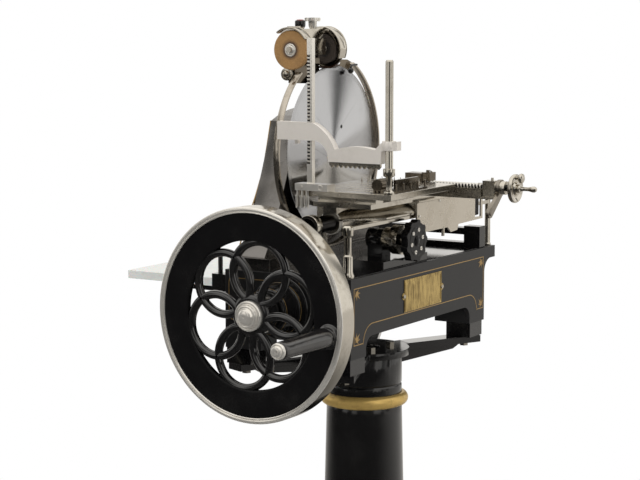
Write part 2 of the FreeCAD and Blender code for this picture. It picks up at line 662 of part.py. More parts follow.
def grip_place(level_y):
    angle = math.radians(-7.6)
    return (SHAFT_X + S.grip_orbit * math.cos(angle), level_y,
            SHAFT_LEVEL + S.grip_orbit * math.sin(angle))


def make_shaft_and_nut():
    face = RIM_BACK - S.wheel_hub_front
    end = S.crank_y - S.crank_gear_radius * (1 - S.gear_face) + 4
    shaft = rod((SHAFT_X, face - S.nut_depth + 3, SHAFT_LEVEL), "y", S.shaft_radius,
                end - face + S.nut_depth - 3)
    node(shaft, "drive_shaft")
    nut = made(spun([
        (S.shaft_radius, 0), (S.nut_radius, 0), (S.nut_radius, 3),
        ((S.nut_radius - 3, 8), (S.nut_tip + 4, S.nut_depth)), (S.nut_tip, S.nut_depth),
        (S.nut_tip, S.nut_depth + 4), ((S.nut_tip * 0.7, S.nut_depth + 9), (1.5, S.nut_depth + 11)),
        (0, S.nut_depth + 11), (0, S.nut_depth - 3), (S.shaft_radius, S.nut_depth - 3),
    ]))
    node(put(nut, (SHAFT_X, face, SHAFT_LEVEL), "-y"), "hub_nut")


def make_handle():
    disc_front = RIM_BACK - S.rim_width + S.lip_depth
    grip_end = disc_front - S.grip_collar - S.grip_length
    pin_y = disc_front + S.disc_plate
    cap_start = S.disc_plate + S.grip_collar + S.grip_length + 0.5
    pin = made(spun([
        (0, 0), (S.grip_pin, 0), (S.grip_pin, cap_start), (S.grip_cap, cap_start),
        (S.grip_cap, cap_start + 4), ((S.grip_cap * 0.8, cap_start + 10), (1.5, cap_start + 13)),
        (0, cap_start + 13),
    ]))
    node(put(pin, grip_place(pin_y), "-y"), "handle_pin")
    bore = S.grip_pin + S.run_clear
    length = S.grip_length
    grip = made(spun([
        (bore, 0), (S.grip_end_radius - 3, 0), ((S.grip_end_radius - 0.8, 1), (S.grip_end_radius, 4)),
        (S.grip_end_radius, length * 0.2), (S.grip_end_radius + 0.7, length * 0.45),
        (S.grip_root_radius - 0.6, length * 0.7), (S.grip_root_radius, length * 0.86),
        (S.grip_root_radius - 1, length - 8), (S.grip_root_radius - 5, length), (bore, length),
    ]))
    node(put(grip, grip_place(grip_end), "y"), "crank_grip")


def bevel(radius, mate, teeth, hub_radius, bore):
    """A bevel gear: big end at z = 0, cone towards +Z, hub towards -Z."""
    radius, mate = number(radius), number(mate)
    shy, keep, depth = number(S.gear_shy), 1 - number(S.gear_face), 3.0
    height = mate * (1 - keep)
    hub = -number(S.gear_hub)
    outer, inner = radius - shy, radius * keep - shy
    blank = spun([(bore, hub), (hub_radius, hub), (hub_radius, 0), (outer, 0), (inner, height),
                  (bore, height)])
    width = math.pi * radius / teeth
    slope = math.degrees(math.atan2(height, outer - inner))
    slots = []
    for index in range(teeth):
        slot = Part.makeBox(radius, width, radius, VECTOR(0, -width / 2, 0))
        slot.rotate(VECTOR(), VECTOR(0, 1, 0), slope)
        slot.translate(VECTOR(outer - depth, 0, -0.5))
        slot.rotate(VECTOR(), VECTOR(0, 0, 1), 360.0 * index / teeth)
        slots.append(slot)
    return blank.cut(slots)


def make_gears():
    radius, mate = S.cross_drive_radius, S.cross_gear_radius
    first = made(bevel(radius, mate, 24, 22, number(S.shaft_radius)))
    put(first, (SHAFT_X, S.cross_y - mate, SHAFT_LEVEL), "y")
    second = made(bevel(S.crank_pinion_radius, S.crank_gear_radius, 20, 20, number(S.shaft_radius)))
    put(second, (SHAFT_X, S.crank_y - S.crank_gear_radius, SHAFT_LEVEL), "y")
    node(group(first, second), "drive_pinions")
    cross = made(bevel(mate, radius, 16, 17, number(S.cross_shaft_radius)))
    node(put(cross, (SHAFT_X - radius, S.cross_y, SHAFT_LEVEL), "x"), "cross_gear")


def sprocket(radius, bore, teeth, at):
    """A chain wheel across X with square gaps between its teeth."""
    wide = S.sprocket_width
    wheel = rod(at, "x", radius, wide)
    gaps = []
    pitch = 2 * math.pi / teeth
    for index in range(teeth):
        across, up = math.cos(index * pitch), math.sin(index * pitch)
        gap_at = (at[0] - 1, at[1] + radius * across, at[2] + radius * up)
        gaps.append(rod(gap_at, "x", radius * (pitch / 4.2), wide + 2))
    return cut(wheel, *gaps, rod((at[0] - 1, at[1], at[2]), "x", bore, wide + 2))


def make_cross_shaft():
    small_end = SHAFT_X - S.cross_drive_radius * (1 - S.gear_face)
    node(rod((-BED_SIDE, S.cross_y, SHAFT_LEVEL), "x", S.cross_shaft_radius, small_end + BED_SIDE),
         "cross_shaft")
    left = -CHAIN_PLANE - S.sprocket_width / 2
    node(sprocket(S.sprocket_drive_radius, S.cross_shaft_radius, 20,
                  (left, S.cross_y, SHAFT_LEVEL)), "drive_sprocket")
    node(sprocket(S.sprocket_knife_radius, S.knife_shaft_radius, 10,
                  (left, S.knife_y, S.knife_level)), "knife_sprocket")


def belt_face(low_radius, high_radius):
    """The outline of a chain round both sprockets, in the plane across X."""
    y, low, high = number(S.knife_y), number(SHAFT_LEVEL), number(S.knife_level)
    lean = math.acos((low_radius - high_radius) / (high - low))
    side, rise = math.sin(lean), math.cos(lean)
    steps = [
        (y + low_radius * side, low + low_radius * rise),
        (y + high_radius * side, high + high_radius * rise),
        ((y, high + high_radius), (y - high_radius * side, high + high_radius * rise)),
        (y - low_radius * side, low + low_radius * rise),
        ((y, low - low_radius), (y + low_radius * side, low + low_radius * rise)),
    ]
    return face_of(steps, lambda across, up: VECTOR(0, across, up))


def make_chain():
    inner = [number(radius + S.chain_clear) for radius in (S.sprocket_drive_radius, S.sprocket_knife_radius)]
    outer = [radius + number(S.chain_depth) for radius in inner]
    width = number(S.chain_width)
    loop = belt_face(*outer).extrude(VECTOR(width, 0, 0)).cut(belt_face(*inner).extrude(VECTOR(width, 0, 0)))
    node(made(loop, (-CHAIN_PLANE - S.chain_width / 2, 0, 0)), "drive_chain")


def make_crank():
    plane = SHAFT_LEVEL + S.crank_pinion_radius
    low = BED_FLOOR + S.bridge_level - 6
    node(rod((SHAFT_X, S.crank_y, low), "z", S.crank_shaft_radius, plane - low + S.crank_disc_plate),
         "crank_shaft")
    gear = made(bevel(S.crank_gear_radius, S.crank_pinion_radius, 40, 48, number(S.crank_shaft_radius)))
    flipped = FreeCAD.Rotation(VECTOR(1, 0, 0), 180)
    gear.Placement = FreeCAD.Placement(vector(SHAFT_X, S.crank_y, plane), flipped)
    disc = cut(rod((SHAFT_X, S.crank_y, plane), "z", S.crank_disc_radius, S.crank_disc_plate),
               rod((SHAFT_X, S.crank_y, plane - 1), "z", S.crank_shaft_radius, S.crank_disc_plate + 2),
               rod((SHAFT_X, S.crank_y, plane - 1), "z", S.crank_disc_radius * 0.45, 1 + 0.001))
    weight = cut(disc, *[rod((SHAFT_X + 78 * math.cos(a), S.crank_y + 78 * math.sin(a), plane - 1), "z",
                             20, S.crank_disc_plate + 2) for a in (math.pi / 2, math.pi, 3 * math.pi / 2)])
    node(join(gear, weight), "crank_gear")


def make_connecting_rod():
    """The rod from the carriage lug to the crank, with the crank pin fixed in its far eye."""
    throw, reach = number(S.crank_throw), number(REACH)
    lean = math.degrees(math.acos((reach ** 2 + number(S.rod_length) ** 2 - throw ** 2)
                                  / (2 * reach * number(S.rod_length))))
    length, eye, plate = number(S.rod_length), number(S.rod_eye), number(S.rod_plate)
    pin, clear = number(S.rod_pin), number(S.run_clear)
    bar = Part.makeBox(18, length, plate, VECTOR(-9, 0, 0))
    rod_shape = bar.fuse([Part.makeCylinder(eye, plate), Part.makeCylinder(eye, plate, VECTOR(0, length, 0))])
    rod_shape = rod_shape.cut(Part.makeCylinder(pin + clear, plate + 2, VECTOR(0, 0, -1)))
    gap = number(S.rod_clear - S.pin_clear)
    rod_shape = rod_shape.fuse(Part.makeCylinder(pin, plate + gap, VECTOR(0, length, -gap)))
    at = (SHAFT_X, S.crank_y - REACH, ROD_PIN_LEVEL + S.rod_clear)
    node(made(rod_shape, at, "z", -lean), "connecting_rod")


# ---------------------------------------------------------------- knife side

def column_face(inset):
    """Bell outline of the knife column, drawn inset from its outer skin."""
    y = number(S.knife_y)
    base = number(BED_TOP)
    top, waist = number(S.column_top) - inset, number(S.column_waist)
    half_top, half_waist = number(S.column_half_top) - inset, number(S.column_half_waist) - inset
    half_foot = number(S.column_half_foot) - inset
    crown = number(S.column_crown)
    steps = [
        (y + half_foot, base), ((y + half_waist, waist), (y + half_top, top)),
        ((y, top + crown), (y - half_top, top)),
        ((y - half_waist, waist), (y - half_foot, base)),
    ]
    return face_of(steps, lambda across, up: VECTOR(0, across, up))


def make_knife_column():
    depth = number(COLUMN_OUTER - COLUMN_INNER)
    skin = number(S.column_skin)
    shell = column_face(0).extrude(VECTOR(depth, 0, 0))
    hollow = column_face(skin).extrude(VECTOR(depth - 2 * skin, 0, 0))
    hollow.translate(VECTOR(skin, 0, -1))
    column = made(shell.cut(hollow), (-COLUMN_OUTER, 0, 0))
    floor = box((-BED_SIDE, S.knife_y - S.column_half_foot, BED_TOP),
                (BED_SIDE - COLUMN_INNER + 22, S.column_half_foot * 2, S.column_floor))
    boss = rod((-COLUMN_OUTER, S.knife_y, S.knife_level), "x", S.knife_boss,
               COLUMN_OUTER - COLUMN_INNER)
    well = box((-COLUMN_OUTER + S.column_skin, S.cross_y - S.sprocket_drive_radius - 14, BED_TOP - 1),
               (COLUMN_OUTER - COLUMN_INNER - S.column_skin * 2, S.sprocket_drive_radius * 2 + 28,
                S.column_floor + 2))
    chain_room = box((-COLUMN_OUTER + 18, S.knife_y - S.knife_boss - 1, S.knife_level - 60),
                     (COLUMN_OUTER - COLUMN_INNER - 36, S.knife_boss * 2 + 2, 60 + S.knife_boss + 1))
    bore = rod((-COLUMN_OUTER - 1, S.knife_y, S.knife_level), "x",
               S.knife_shaft_radius + S.bush_wall, COLUMN_OUTER - COLUMN_INNER + 2)
    node(cut(join(column, floor, boss), well, chain_room, bore), "knife_column")


def make_knife():
    plate = S.knife_plate
    blade = turned([
        (S.knife_bore, 0), (S.knife_radius - S.knife_bevel, 0), (S.knife_radius, plate * 0.8),
        (S.knife_radius - 1.5, plate), (S.knife_bore, plate),
    ], (KNIFE_BACK, S.knife_y, S.knife_level), "x")
    screws, holes = [], []
    for index in range(3):
        angle = math.radians(90 + 120 * index)
        at = (KNIFE_BACK, S.knife_y + 25 * math.cos(angle), S.knife_level + 25 * math.sin(angle))
        holes.append(rod((at[0] - 1, *at[1:]), "x", 3, plate + 2))
        screws.append(rod(at, "x", 3, plate))
    node(cut(blade, *holes), "knife_blade")
    length = COLUMN_OUTER - KNIFE_PLANE - 2
    flange = S.knife_flange_plate
    shaft = turned([
        (0, 0), (S.knife_shaft_radius, 0), (S.knife_shaft_radius, length - plate - flange),
        (S.knife_flange, length - plate - flange), (S.knife_flange, length - plate),
        (S.knife_bore, length - plate), (S.knife_bore, length), (0, length),
    ], (-COLUMN_OUTER + 2, S.knife_y, S.knife_level), "x")
    node(group(shaft, *screws), "knife_shaft")


def make_guard():
    back = KNIFE_BACK - 4
    band = cut(rod((back, S.guard_y, S.guard_level), "x", S.guard_radius, S.guard_depth,
                   S.guard_sweep, S.guard_start),
               rod((back - 1, S.guard_y, S.guard_level), "x", S.guard_radius - S.guard_wall,
                   S.guard_depth + 2))
    lugs = []
    for degrees in (235, 305):
        angle = math.radians(degrees)
        radius = S.guard_radius - S.guard_wall / 2
        at = (-COLUMN_INNER, S.guard_y + radius * math.cos(angle), S.guard_level + radius * math.sin(angle))
        lugs.append(rod(at, "x", S.guard_lug, COLUMN_INNER - KNIFE_PLANE + 2))
    node(join(band, *lugs), "knife_guard")


def make_sharpener_bridge():
    """The beam across the open end of the guard ring, with the knurled nut and the ball of its catch."""
    y = S.sharp_y
    level = S.sharp_level
    left = S.hood_radius + 7
    plate = sawn([
        (y - left, level - 70), (y - left, level - 44), (y - 42, level - 14), (y + 38, level - 14),
        (y + 44, level - 47), (y + 146, level - 47), (y + 160, level - 26), (y + 178, level - 32),
        (y + 168, level - 66), (y + 40, level - 74),
    ], S.beam_plate, (-BEAM_BACK, 0, 0), "x")
    shelf = box((-BEAM_FRONT - 1, y - 14, level - 30), (20, 28, 12))
    bore = rod((-STONE_PLANE + 3, y, level - 40), "z", S.star_screw + S.run_clear, 40)
    knurl_at = (-BEAM_BACK + 1, y - left, level - 51)
    stud = rod(knurl_at, "-y", 6, 3)
    node(cut(join(plate, shelf, stud), bore), "sharpener_bridge")
    knurl = rod((knurl_at[0], y - left - 3, knurl_at[2]), "-y", S.knurl_radius, S.knurl_length)
    end = math.radians(number(S.guard_start + S.guard_sweep) - 362)
    reach = S.guard_radius - S.guard_wall / 2
    end_y = S.guard_y + reach * math.cos(end)
    end_level = S.guard_level + reach * math.sin(end)
    stem = rod((GUARD_FRONT, end_y, end_level), "x", 3, 7)
    ball_at = (GUARD_FRONT + 4, end_y - S.end_ball * 4, end_level - S.end_ball_drop)
    link = rod((ball_at[0], ball_at[1], end_level), "y", 3, S.end_ball * 4)
    drop = rod(ball_at, "z", 3, S.end_ball_drop)
    node(group(knurl, join(stem, link, drop, ball(ball_at, S.end_ball))), "guard_knobs")


def make_deflector():
    plane = KNIFE_BACK - S.deflector_gap - S.deflector_plate
    sheet = cut(rod((plane, S.knife_y, S.knife_level), "x", S.deflector_radius, S.deflector_plate, 150, 30),
                rod((plane - 1, S.knife_y, S.knife_level), "x", S.knife_flange + 3, S.deflector_plate + 2))
    studs = [rod((-COLUMN_INNER, S.knife_y + 60 * side, S.knife_level + 50), "x", 5,
                 COLUMN_INNER + plane) for side in (-1, 1)]
    node(join(sheet, *studs), "slice_deflector")


def hood(y, start, sweep):
    """A bent cover over the rim of one stone."""
    at = (-STONE_PLANE, y - S.hood_width / 2, S.sharp_level)
    band = rod(at, "y", S.hood_radius, S.hood_width, sweep, start)
    inside = rod((at[0], at[1] - 1, at[2]), "y", S.hood_radius - S.hood_wall, S.hood_width + 2)
    return cut(band, inside)


def make_sharpener():
    y, level = S.sharp_y, S.sharp_level
    stone_y, hone_y = y - S.stone_spread, y + S.hone_spread
    back = -BEAM_FRONT + 0.5
    block = box((back, y - 36, level - 12), (20, 72, 34))
    spindle = rod((-STONE_PLANE, stone_y - 14, level), "y", S.stone_bore - S.run_clear,
                  S.stone_spread + S.hone_spread + 24)
    left = hood(stone_y, -40, 100)
    right = hood(hone_y, -25, 140)
    left_strut = box((back, stone_y + 12, level + S.hood_radius - 12), (16, y - stone_y - 44, 8))
    left_tie = box((back, stone_y - 8, level + S.hood_radius - 6), (16, 26, 8))
    right_strut = box((back, y + 30, level + S.hood_radius - 8), (16, hone_y - y - 30, 8))
    right_tie = box((back, hone_y - 8, level + S.hood_radius - 8), (16, 16, 8))
    riser = box((back, y - 36, level + 20), (16, 68, S.hood_radius - 24))
    cup = turned([(0, 0), (8, 0), (10, 4), (10, 16), (7, 18), (0, 18)],
                 (-STONE_PLANE, y - 44, level + S.hood_radius - 4))
    bore = rod((-STONE_PLANE + 3, y, level - 20), "z", S.star_screw + S.run_clear, 90)
    frame = join(block, riser, left, right, left_strut, left_tie, right_strut, right_tie, spindle)
    node(group(cut(frame, bore), cup), "sharpener_head")
    node(stone(stone_y, S.stone_radius, 3), "grinding_stone")
    node(stone(hone_y, S.hone_radius, 0), "honing_stone")


def stone(y, radius, dish):
    """A flat grinding wheel that spins on the sharpener's spindle."""
    wide = S.stone_width
    return turned([
        (S.stone_bore, 0), (radius * 0.55, 0), (radius * 0.6, dish * 0.4), (radius - 1.5, 0.5),
        (radius, 2), (radius, wide - 2), (radius - 2, wide), (S.stone_bore, wide),
    ], (-STONE_PLANE, y - wide / 2, S.sharp_level), "y")


def make_star_knob():
    """The scalloped disc on a tapered neck that raises and lowers the sharpener."""
    y = S.sharp_y
    x = -STONE_PLANE + 3
    screw = rod((x, y, S.sharp_level - 34), "z", S.star_screw, S.star_level - S.sharp_level + 36)
    neck = cone((x, y, S.star_level - 7), "z", S.star_screw + 1, S.star_radius * 0.6, 8)
    disc = rod((x, y, S.star_level), "z", S.star_radius, S.star_plate)
    dome = cone((x, y, S.star_level + S.star_plate), "z", S.star_radius * 0.5, S.star_radius * 0.3, 2)
    scallops = []
    for index in range(8):
        angle = math.radians(45 * index + 22.5)
        reach = S.star_radius * 1.12
        at = (x + reach * math.cos(angle), y + reach * math.sin(angle), S.star_level - 1)
        scallops.append(rod(at, "z", S.star_radius * 0.25, S.star_plate + 2))
    node(cut(join(screw, neck, disc, dome), *scallops), "star_knob")


# ---------------------------------------------------------------- rails, carriage

def make_rails():
    front = -S.bed_front
    back = S.frame_front + S.frame_plate
    node(rod((S.rod_x, front, S.rod_level), "y", S.rod_radius, back - front + 8), "carriage_rod")
    half = S.stand_width / 2
    boss = S.rod_radius + S.stand_boss
    stand = join(box((S.rod_x - half, front + 2, BED_TOP), (S.stand_width, S.stand_plate, 16)),
                 box((S.rod_x - half + 8, front + 2, BED_TOP),
                     (S.stand_width - 16, S.stand_plate, S.rod_level - BED_TOP)),
                 rod((S.rod_x, front + 2, S.rod_level), "y", boss, S.stand_plate))
    node(cut(stand, rod((S.rod_x, front, S.rod_level), "y", S.rod_radius, S.stand_plate + 4)),
         "front_rod_stand")
    make_rear_frame(half)
    node(box((RAIL_X - S.rail_width / 2, S.post_front + S.post_head, S.rail_level),
             (S.rail_width, S.post_back - S.post_front - S.post_head - S.post_radius, S.rail_height)),
         "side_rail")
    make_posts()


def make_rear_frame(half):
    """Two blocks with a sill and a raised bar between them; the bar carries the eye of the guide rod."""
    side = BED_SIDE - S.frame_inset
    y = S.frame_front
    blocks = [box((x, y, BED_TOP), (S.frame_block, S.frame_plate, S.frame_block_height))
              for x in (-side, side - S.frame_block)]
    bar_level = BED_TOP + S.frame_bar_level
    bar = box((-side, y, bar_level), (side * 2, S.frame_plate, S.frame_bar))
    sill = box((-side, y, BED_TOP), (side * 2, S.frame_plate, S.frame_sill))
    riser = box((S.rod_x - half + 8, y, bar_level),
                (S.stand_width - 16, S.frame_plate, S.rod_level - bar_level))
    eye = rod((S.rod_x, y, S.rod_level), "y", S.frame_eye, S.frame_plate)
    bore = rod((S.rod_x, y - 1, S.rod_level), "y", S.rod_radius, S.frame_plate + 2)
    node(cut(join(*blocks, bar, sill, riser, eye), bore), "rear_frame")


def make_posts():
    top = RAIL_TOP + 3
    rise = top - BED_TOP
    front = turned([
        (0, 0), (S.post_foot, 0), (S.post_foot, 6), (S.post_foot - 3, 14), (S.post_foot - 3, 45),
        (S.post_radius + 1, 48), (S.post_radius + 1, rise - 24), (S.post_head, rise - 20),
        (S.post_head, rise - 4), (S.post_head - 3, rise), (0, rise),
    ], (RAIL_X, S.post_front, BED_TOP))
    back = turned([
        (0, 0), (S.post_radius + 1.5, 0), (S.post_radius + 1.5, 4), (S.post_radius, 6),
        (S.post_radius, rise - 1), (S.post_radius - 2, rise), (0, rise),
    ], (RAIL_X, S.post_back, BED_TOP))
    node(group(front, back), "rail_posts")


def carriage_horn(low):
    """The rounded side of the carriage: it grows from the sleeve's front end out to the side cover."""
    top = number(S.rod_level + S.sleeve_radius)
    deck = number(S.carriage_level) + 0.5
    axis, edge = number(S.rod_x), number(CARRIAGE_RIGHT) - 1
    sides = [
        (number(S.sleeve_front), [(axis, low), (axis + 22, low), (axis + 17, top - 7), (axis + 6, top - 1),
                                  (axis, top)]),
        (number(S.cover_front), [(axis, low), (edge, low), (edge - 10, deck - 9), (edge - 45, deck),
                                 (axis, deck)]),
    ]
    wires = []
    for y, corners in sides:
        foot, right, middle, crest, back = [VECTOR(across, y, up) for across, up in corners]
        wires.append(Part.Wire([Part.makeLine(foot, right), Part.Arc(right, middle, crest).toShape(),
                                Part.makeLine(crest, back), Part.makeLine(back, foot)]))
    return made(Part.makeLoft(wires, True, True))


def make_carriage():
    """Deck, sleeve on the guide rod, horn, runner over the side rail, ways, drive lug and screw channel."""
    deck = S.carriage_level
    length = S.carriage_back - S.carriage_front
    corner = CARRIAGE_LEFT + S.deck_corner
    plate = sawn([
        (corner, S.carriage_front), (CARRIAGE_RIGHT, S.carriage_front), (CARRIAGE_RIGHT, S.carriage_back),
        (CARRIAGE_LEFT, S.carriage_back), (CARRIAGE_LEFT, S.carriage_front + S.deck_corner),
    ], S.carriage_plate, (0, 0, deck), "z")
    long = S.sleeve_back - S.sleeve_front
    tube = rod((S.rod_x, S.sleeve_front, S.rod_level), "y", S.sleeve_radius, long)
    web = box((S.rod_x - 16, S.sleeve_front, S.rod_level), (32, long, deck - S.rod_level + 1))
    low = RAIL_TOP + S.rail_clear
    edge = CARRIAGE_RIGHT - S.runner_inset
    runner = sawn([
        (S.rod_x, S.sleeve_front), (S.rod_x + 30, S.sleeve_front), (edge, S.sleeve_front + 74),
        (edge, S.sleeve_back), (S.rod_x, S.sleeve_back),
    ], S.runner_plate, (0, 0, low), "z")
    ways = [box((corner, y, deck), (CARRIAGE_RIGHT - corner, S.way_width, S.carriage_plate + S.way_height))
            for y in (S.carriage_front + 20, S.table_back - S.way_width - 20)]
    lug_y = S.crank_y - REACH
    pin_low = ROD_PIN_LEVEL + S.rod_clear
    lug_low = pin_low + S.rod_plate + 1
    lug = box((SHAFT_X - S.lug_width / 2, lug_y - S.lug_width / 2, lug_low),
              (S.lug_width, S.lug_width, deck - lug_low + 1))
    pin = rod((SHAFT_X, lug_y, pin_low), "z", S.rod_pin, S.rod_plate + 8)
    bore = rod((S.rod_x, S.carriage_front - 1, S.rod_level), "y", S.rod_radius + S.run_clear, length + 2)
    casting = join(plate, tube, web, carriage_horn(number(low)), runner, *ways, *screw_channel(), lug, pin)
    node(cut(casting, bore), "carriage")


def screw_channel():
    """The trough beside the table that carries the feed screw's block."""
    start = CARRIAGE_RIGHT - 20
    reach = BLOCK_LEFT - start
    wall = S.channel_wall
    floor = box((start, S.channel_front, DECK_TOP - 1),
                (reach + S.block_length, S.channel_width, S.channel_floor + 1))
    sides = [box((start, y, DECK_TOP - 1), (reach - 1, wall, S.channel_height + 1))
             for y in (S.channel_front, S.channel_front + S.channel_width - wall)]
    return [floor, *sides]


def make_side_cover():
    top = S.carriage_level + S.cover_rise
    front, back, low = S.cover_front, S.cover_back, S.carriage_level + S.cover_rise - S.cover_drop
    plate = sawn([
        (front, top), (back, top), (back, low + 4), (back - 116, low + 2), (back - 122, low - 10),
        (back - 152, low - 12), (back - 166, low), (front + 34, low), (front, low + 20),
    ], S.cover_plate, (CARRIAGE_RIGHT, 0, 0), "x")
    rim = rod((CARRIAGE_RIGHT + S.cover_plate, front, top - S.cover_rim), "y", S.cover_rim, back - front)
    stop = rod((CARRIAGE_RIGHT + S.cover_plate / 2, front + 120, low - 17), "z", 3.5, 20)
    window = box((CARRIAGE_RIGHT - 1, back - 37, low + 9), (S.cover_plate + 2, 29, S.cover_drop - 24))
    node(cut(join(plate, rim, stop), window), "side_cover")


def make_screw_blocks():
    side = S.block_side
    low = DECK_TOP + S.channel_floor
    block = box((BLOCK_LEFT, S.screw_y - side / 2, low), (S.block_length, side, S.block_height))
    collar = rod((BLOCK_LEFT + S.block_length, S.screw_y, S.screw_level), "x", S.collar_radius,
                 S.collar_length)
    nipple = rod((BLOCK_LEFT + S.block_length * 0.6, S.screw_y, low + S.block_height), "z", 3, 6)
    bore = rod((BLOCK_LEFT - 1, S.screw_y, S.screw_level), "x", S.screw_radius + S.run_clear,
               S.block_length + S.collar_length + 2)
    node(cut(join(block, collar, nipple), bore), "screw_block")
    x = BLOCK_LEFT + S.block_length + 3
    hub = rod((x, S.screw_y, S.screw_level), "x", S.collar_radius + 3, 8)
    foot = (x, S.screw_y - 51, S.screw_level - 50)
    arm = sawn([(S.screw_y - 10, S.screw_level - 11), (S.screw_y + 4, S.screw_level - 16),
                (S.screw_y - 45, S.screw_level - 58), (S.screw_y - 57, S.screw_level - 43)],
               8, (x, 0, 0), "x")
    lever = join(hub, arm, rod(foot, "x", 9, 8), rod((x - 2, *foot[1:]), "x", 4, 12))
    node(cut(lever, rod((x - 3, S.screw_y, S.screw_level), "x", S.collar_radius + S.run_clear, 14)),
         "feed_lever")


# ---------------------------------------------------------------- feed table, screw, clamp

def make_table():
    left = TABLE_LEFT + S.table_recess
    length = TABLE_RIGHT - left
    depth = S.table_back - S.table_front
    slab = box((left, S.table_front, TABLE_UNDER), (length, depth, S.table_plate))
    ribs = [box((left + 16, S.table_front + 40 + 34 * index, S.table_top - 2),
                (length - 76, 8, 3)) for index in range(5)]
    hole = post_hole(POST_X, 0)
    node(cut(slab, *ribs, hole), "feed_table")
    make_nut_box()


def make_nut_box():
    """The box that holds the screw's nut, its neck in the channel and the stay with the release ball."""
    wall_top = DECK_TOP + S.channel_height + S.nut_clear
    neck_low = DECK_TOP + S.channel_floor + S.nut_clear
    head = box((NUT_LEFT, S.table_back, wall_top), (S.nut_length, S.nut_width, S.nut_height))
    neck = box((NUT_LEFT, S.screw_y - S.nut_neck / 2, neck_low),
               (S.nut_length, S.nut_neck, wall_top - neck_low + 1))
    stay_left = NUT_LEFT + S.nut_length
    stay = box((stay_left - 1, S.table_back + 2, wall_top + S.nut_height - 16),
               (S.stay_length + 1, S.stay_width, 18))
    ball_at = (stay_left + S.stay_length, S.screw_y, wall_top + S.nut_height + 9)
    stalk = rod((ball_at[0] - 5, S.screw_y, wall_top + S.nut_height), "z", 3, 9)
    cap = rod((stay_left + 5, S.screw_y, wall_top + S.nut_height + 1), "z", 4, 5)
    bore = rod((NUT_LEFT - 1, S.screw_y, S.screw_level), "x", S.screw_radius + S.run_clear,
               S.nut_length + S.stay_length + 2)
    node(cut(join(head, neck, stay, cap, stalk, ball(ball_at, S.stay_ball)), bore), "nut_box")


def post_hole(x, clear):
    y = S.bar_front + S.bar_depth / 2
    side = S.post_side + clear * 2
    return box((x - side / 2, y - side / 2, TABLE_UNDER - 40), (side, side, S.post_top - TABLE_UNDER + 80))


def make_posts_of_clamp():
    y = S.bar_front + S.bar_depth / 2
    half = S.post_side / 2
    post = box((POST_X - half, y - half, TABLE_UNDER), (S.post_side, S.post_side, S.post_top - TABLE_UNDER))
    low = number(S.tooth_from)
    notches = []
    for index in range(int(number(S.tooth_count))):
        level = low + number(S.tooth_pitch) * index
        notch = Part.makePolygon([VECTOR(0, -1, 0), VECTOR(0, number(S.tooth_depth), 0),
                                  VECTOR(0, -1, number(S.tooth_pitch) * 0.8), VECTOR(0, -1, 0)])
        wedge = Part.Face(notch).extrude(VECTOR(number(S.post_side * S.tooth_share) + 1, 0, 0))
        wedge.translate(VECTOR(number(POST_X - half) - 1, number(y - half), level))
        notches.append(wedge)
    teeth = made(Part.makeCompound(notches))
    block = box((POST_X - 27, S.table_front - 11, S.table_top), (77, 30, 14))
    tines = [box((POST_X - 24 + 11 * index, S.table_front - 10, TABLE_UNDER - 22), (4, 7, 40))
             for index in range(3)]
    node(cut(join(post, block, *tines), teeth), "toothed_post")
    top = S.plain_top - S.table_top
    plain = turned([
        (0, 0), (11, 0), (11, 5), (6, 9), (6, 34), (12, 37), (12, 51), (S.plain_radius, 52),
        (S.plain_radius, top - 3), (S.plain_radius - 2, top), (0, top),
    ], (PLAIN_X, S.bar_front + S.bar_depth / 2, S.table_top))
    node(plain, "plain_post")


def make_end_grip():
    """Fence, toothed drum and pins that hold the end of the meat at the table's right edge."""
    x, y, z = TABLE_RIGHT - 60, S.table_front + 34, S.table_top
    base = box((x, y, z), (30, 140, 5))
    fence = box((x + 22, y + 44, z), (5, 96, 22))
    drum = rod((x + 10, y - 2, z + 14), "y", 13, 44)
    gaps = []
    for index in range(10):
        angle = math.radians(36 * index)
        at = (x + 10 + 14 * math.cos(angle), y - 3, z + 14 + 14 * math.sin(angle))
        gaps.append(rod(at, "y", 2.6, 46))
    tie = box((x + 29, y + 6, z), (22, 128, 3))
    pins = [rod((x + 46, y + 12 + 30 * index, z), "z", 2, 17) for index in range(5)]
    node(cut(join(base, drum, fence, tie, *pins), *gaps), "end_grip")


def make_screw():
    """Ridged screw from the nut box to the handwheel."""
    length = BLOCK_LEFT - SCREW_LEFT
    count = int(number(length / S.screw_pitch)) - 1
    corners = [(0, 0), (S.screw_radius - 1, 0)]
    for index in range(count):
        start = S.screw_pitch * index + 3
        corners.append((S.screw_radius - 1.2, start))
        corners.append((S.screw_radius, start + S.screw_pitch * 0.35))
        corners.append((S.screw_radius, start + S.screw_pitch * 0.65))
    end = HAND_X - SCREW_LEFT + S.hand_plate
    corners += [(S.screw_radius - 1.2, length - 2), (S.screw_radius, length - 1),
                (S.screw_radius, end), (0, end)]
    node(turned(corners, (SCREW_LEFT, S.screw_y, S.screw_level), "x"), "feed_screw")


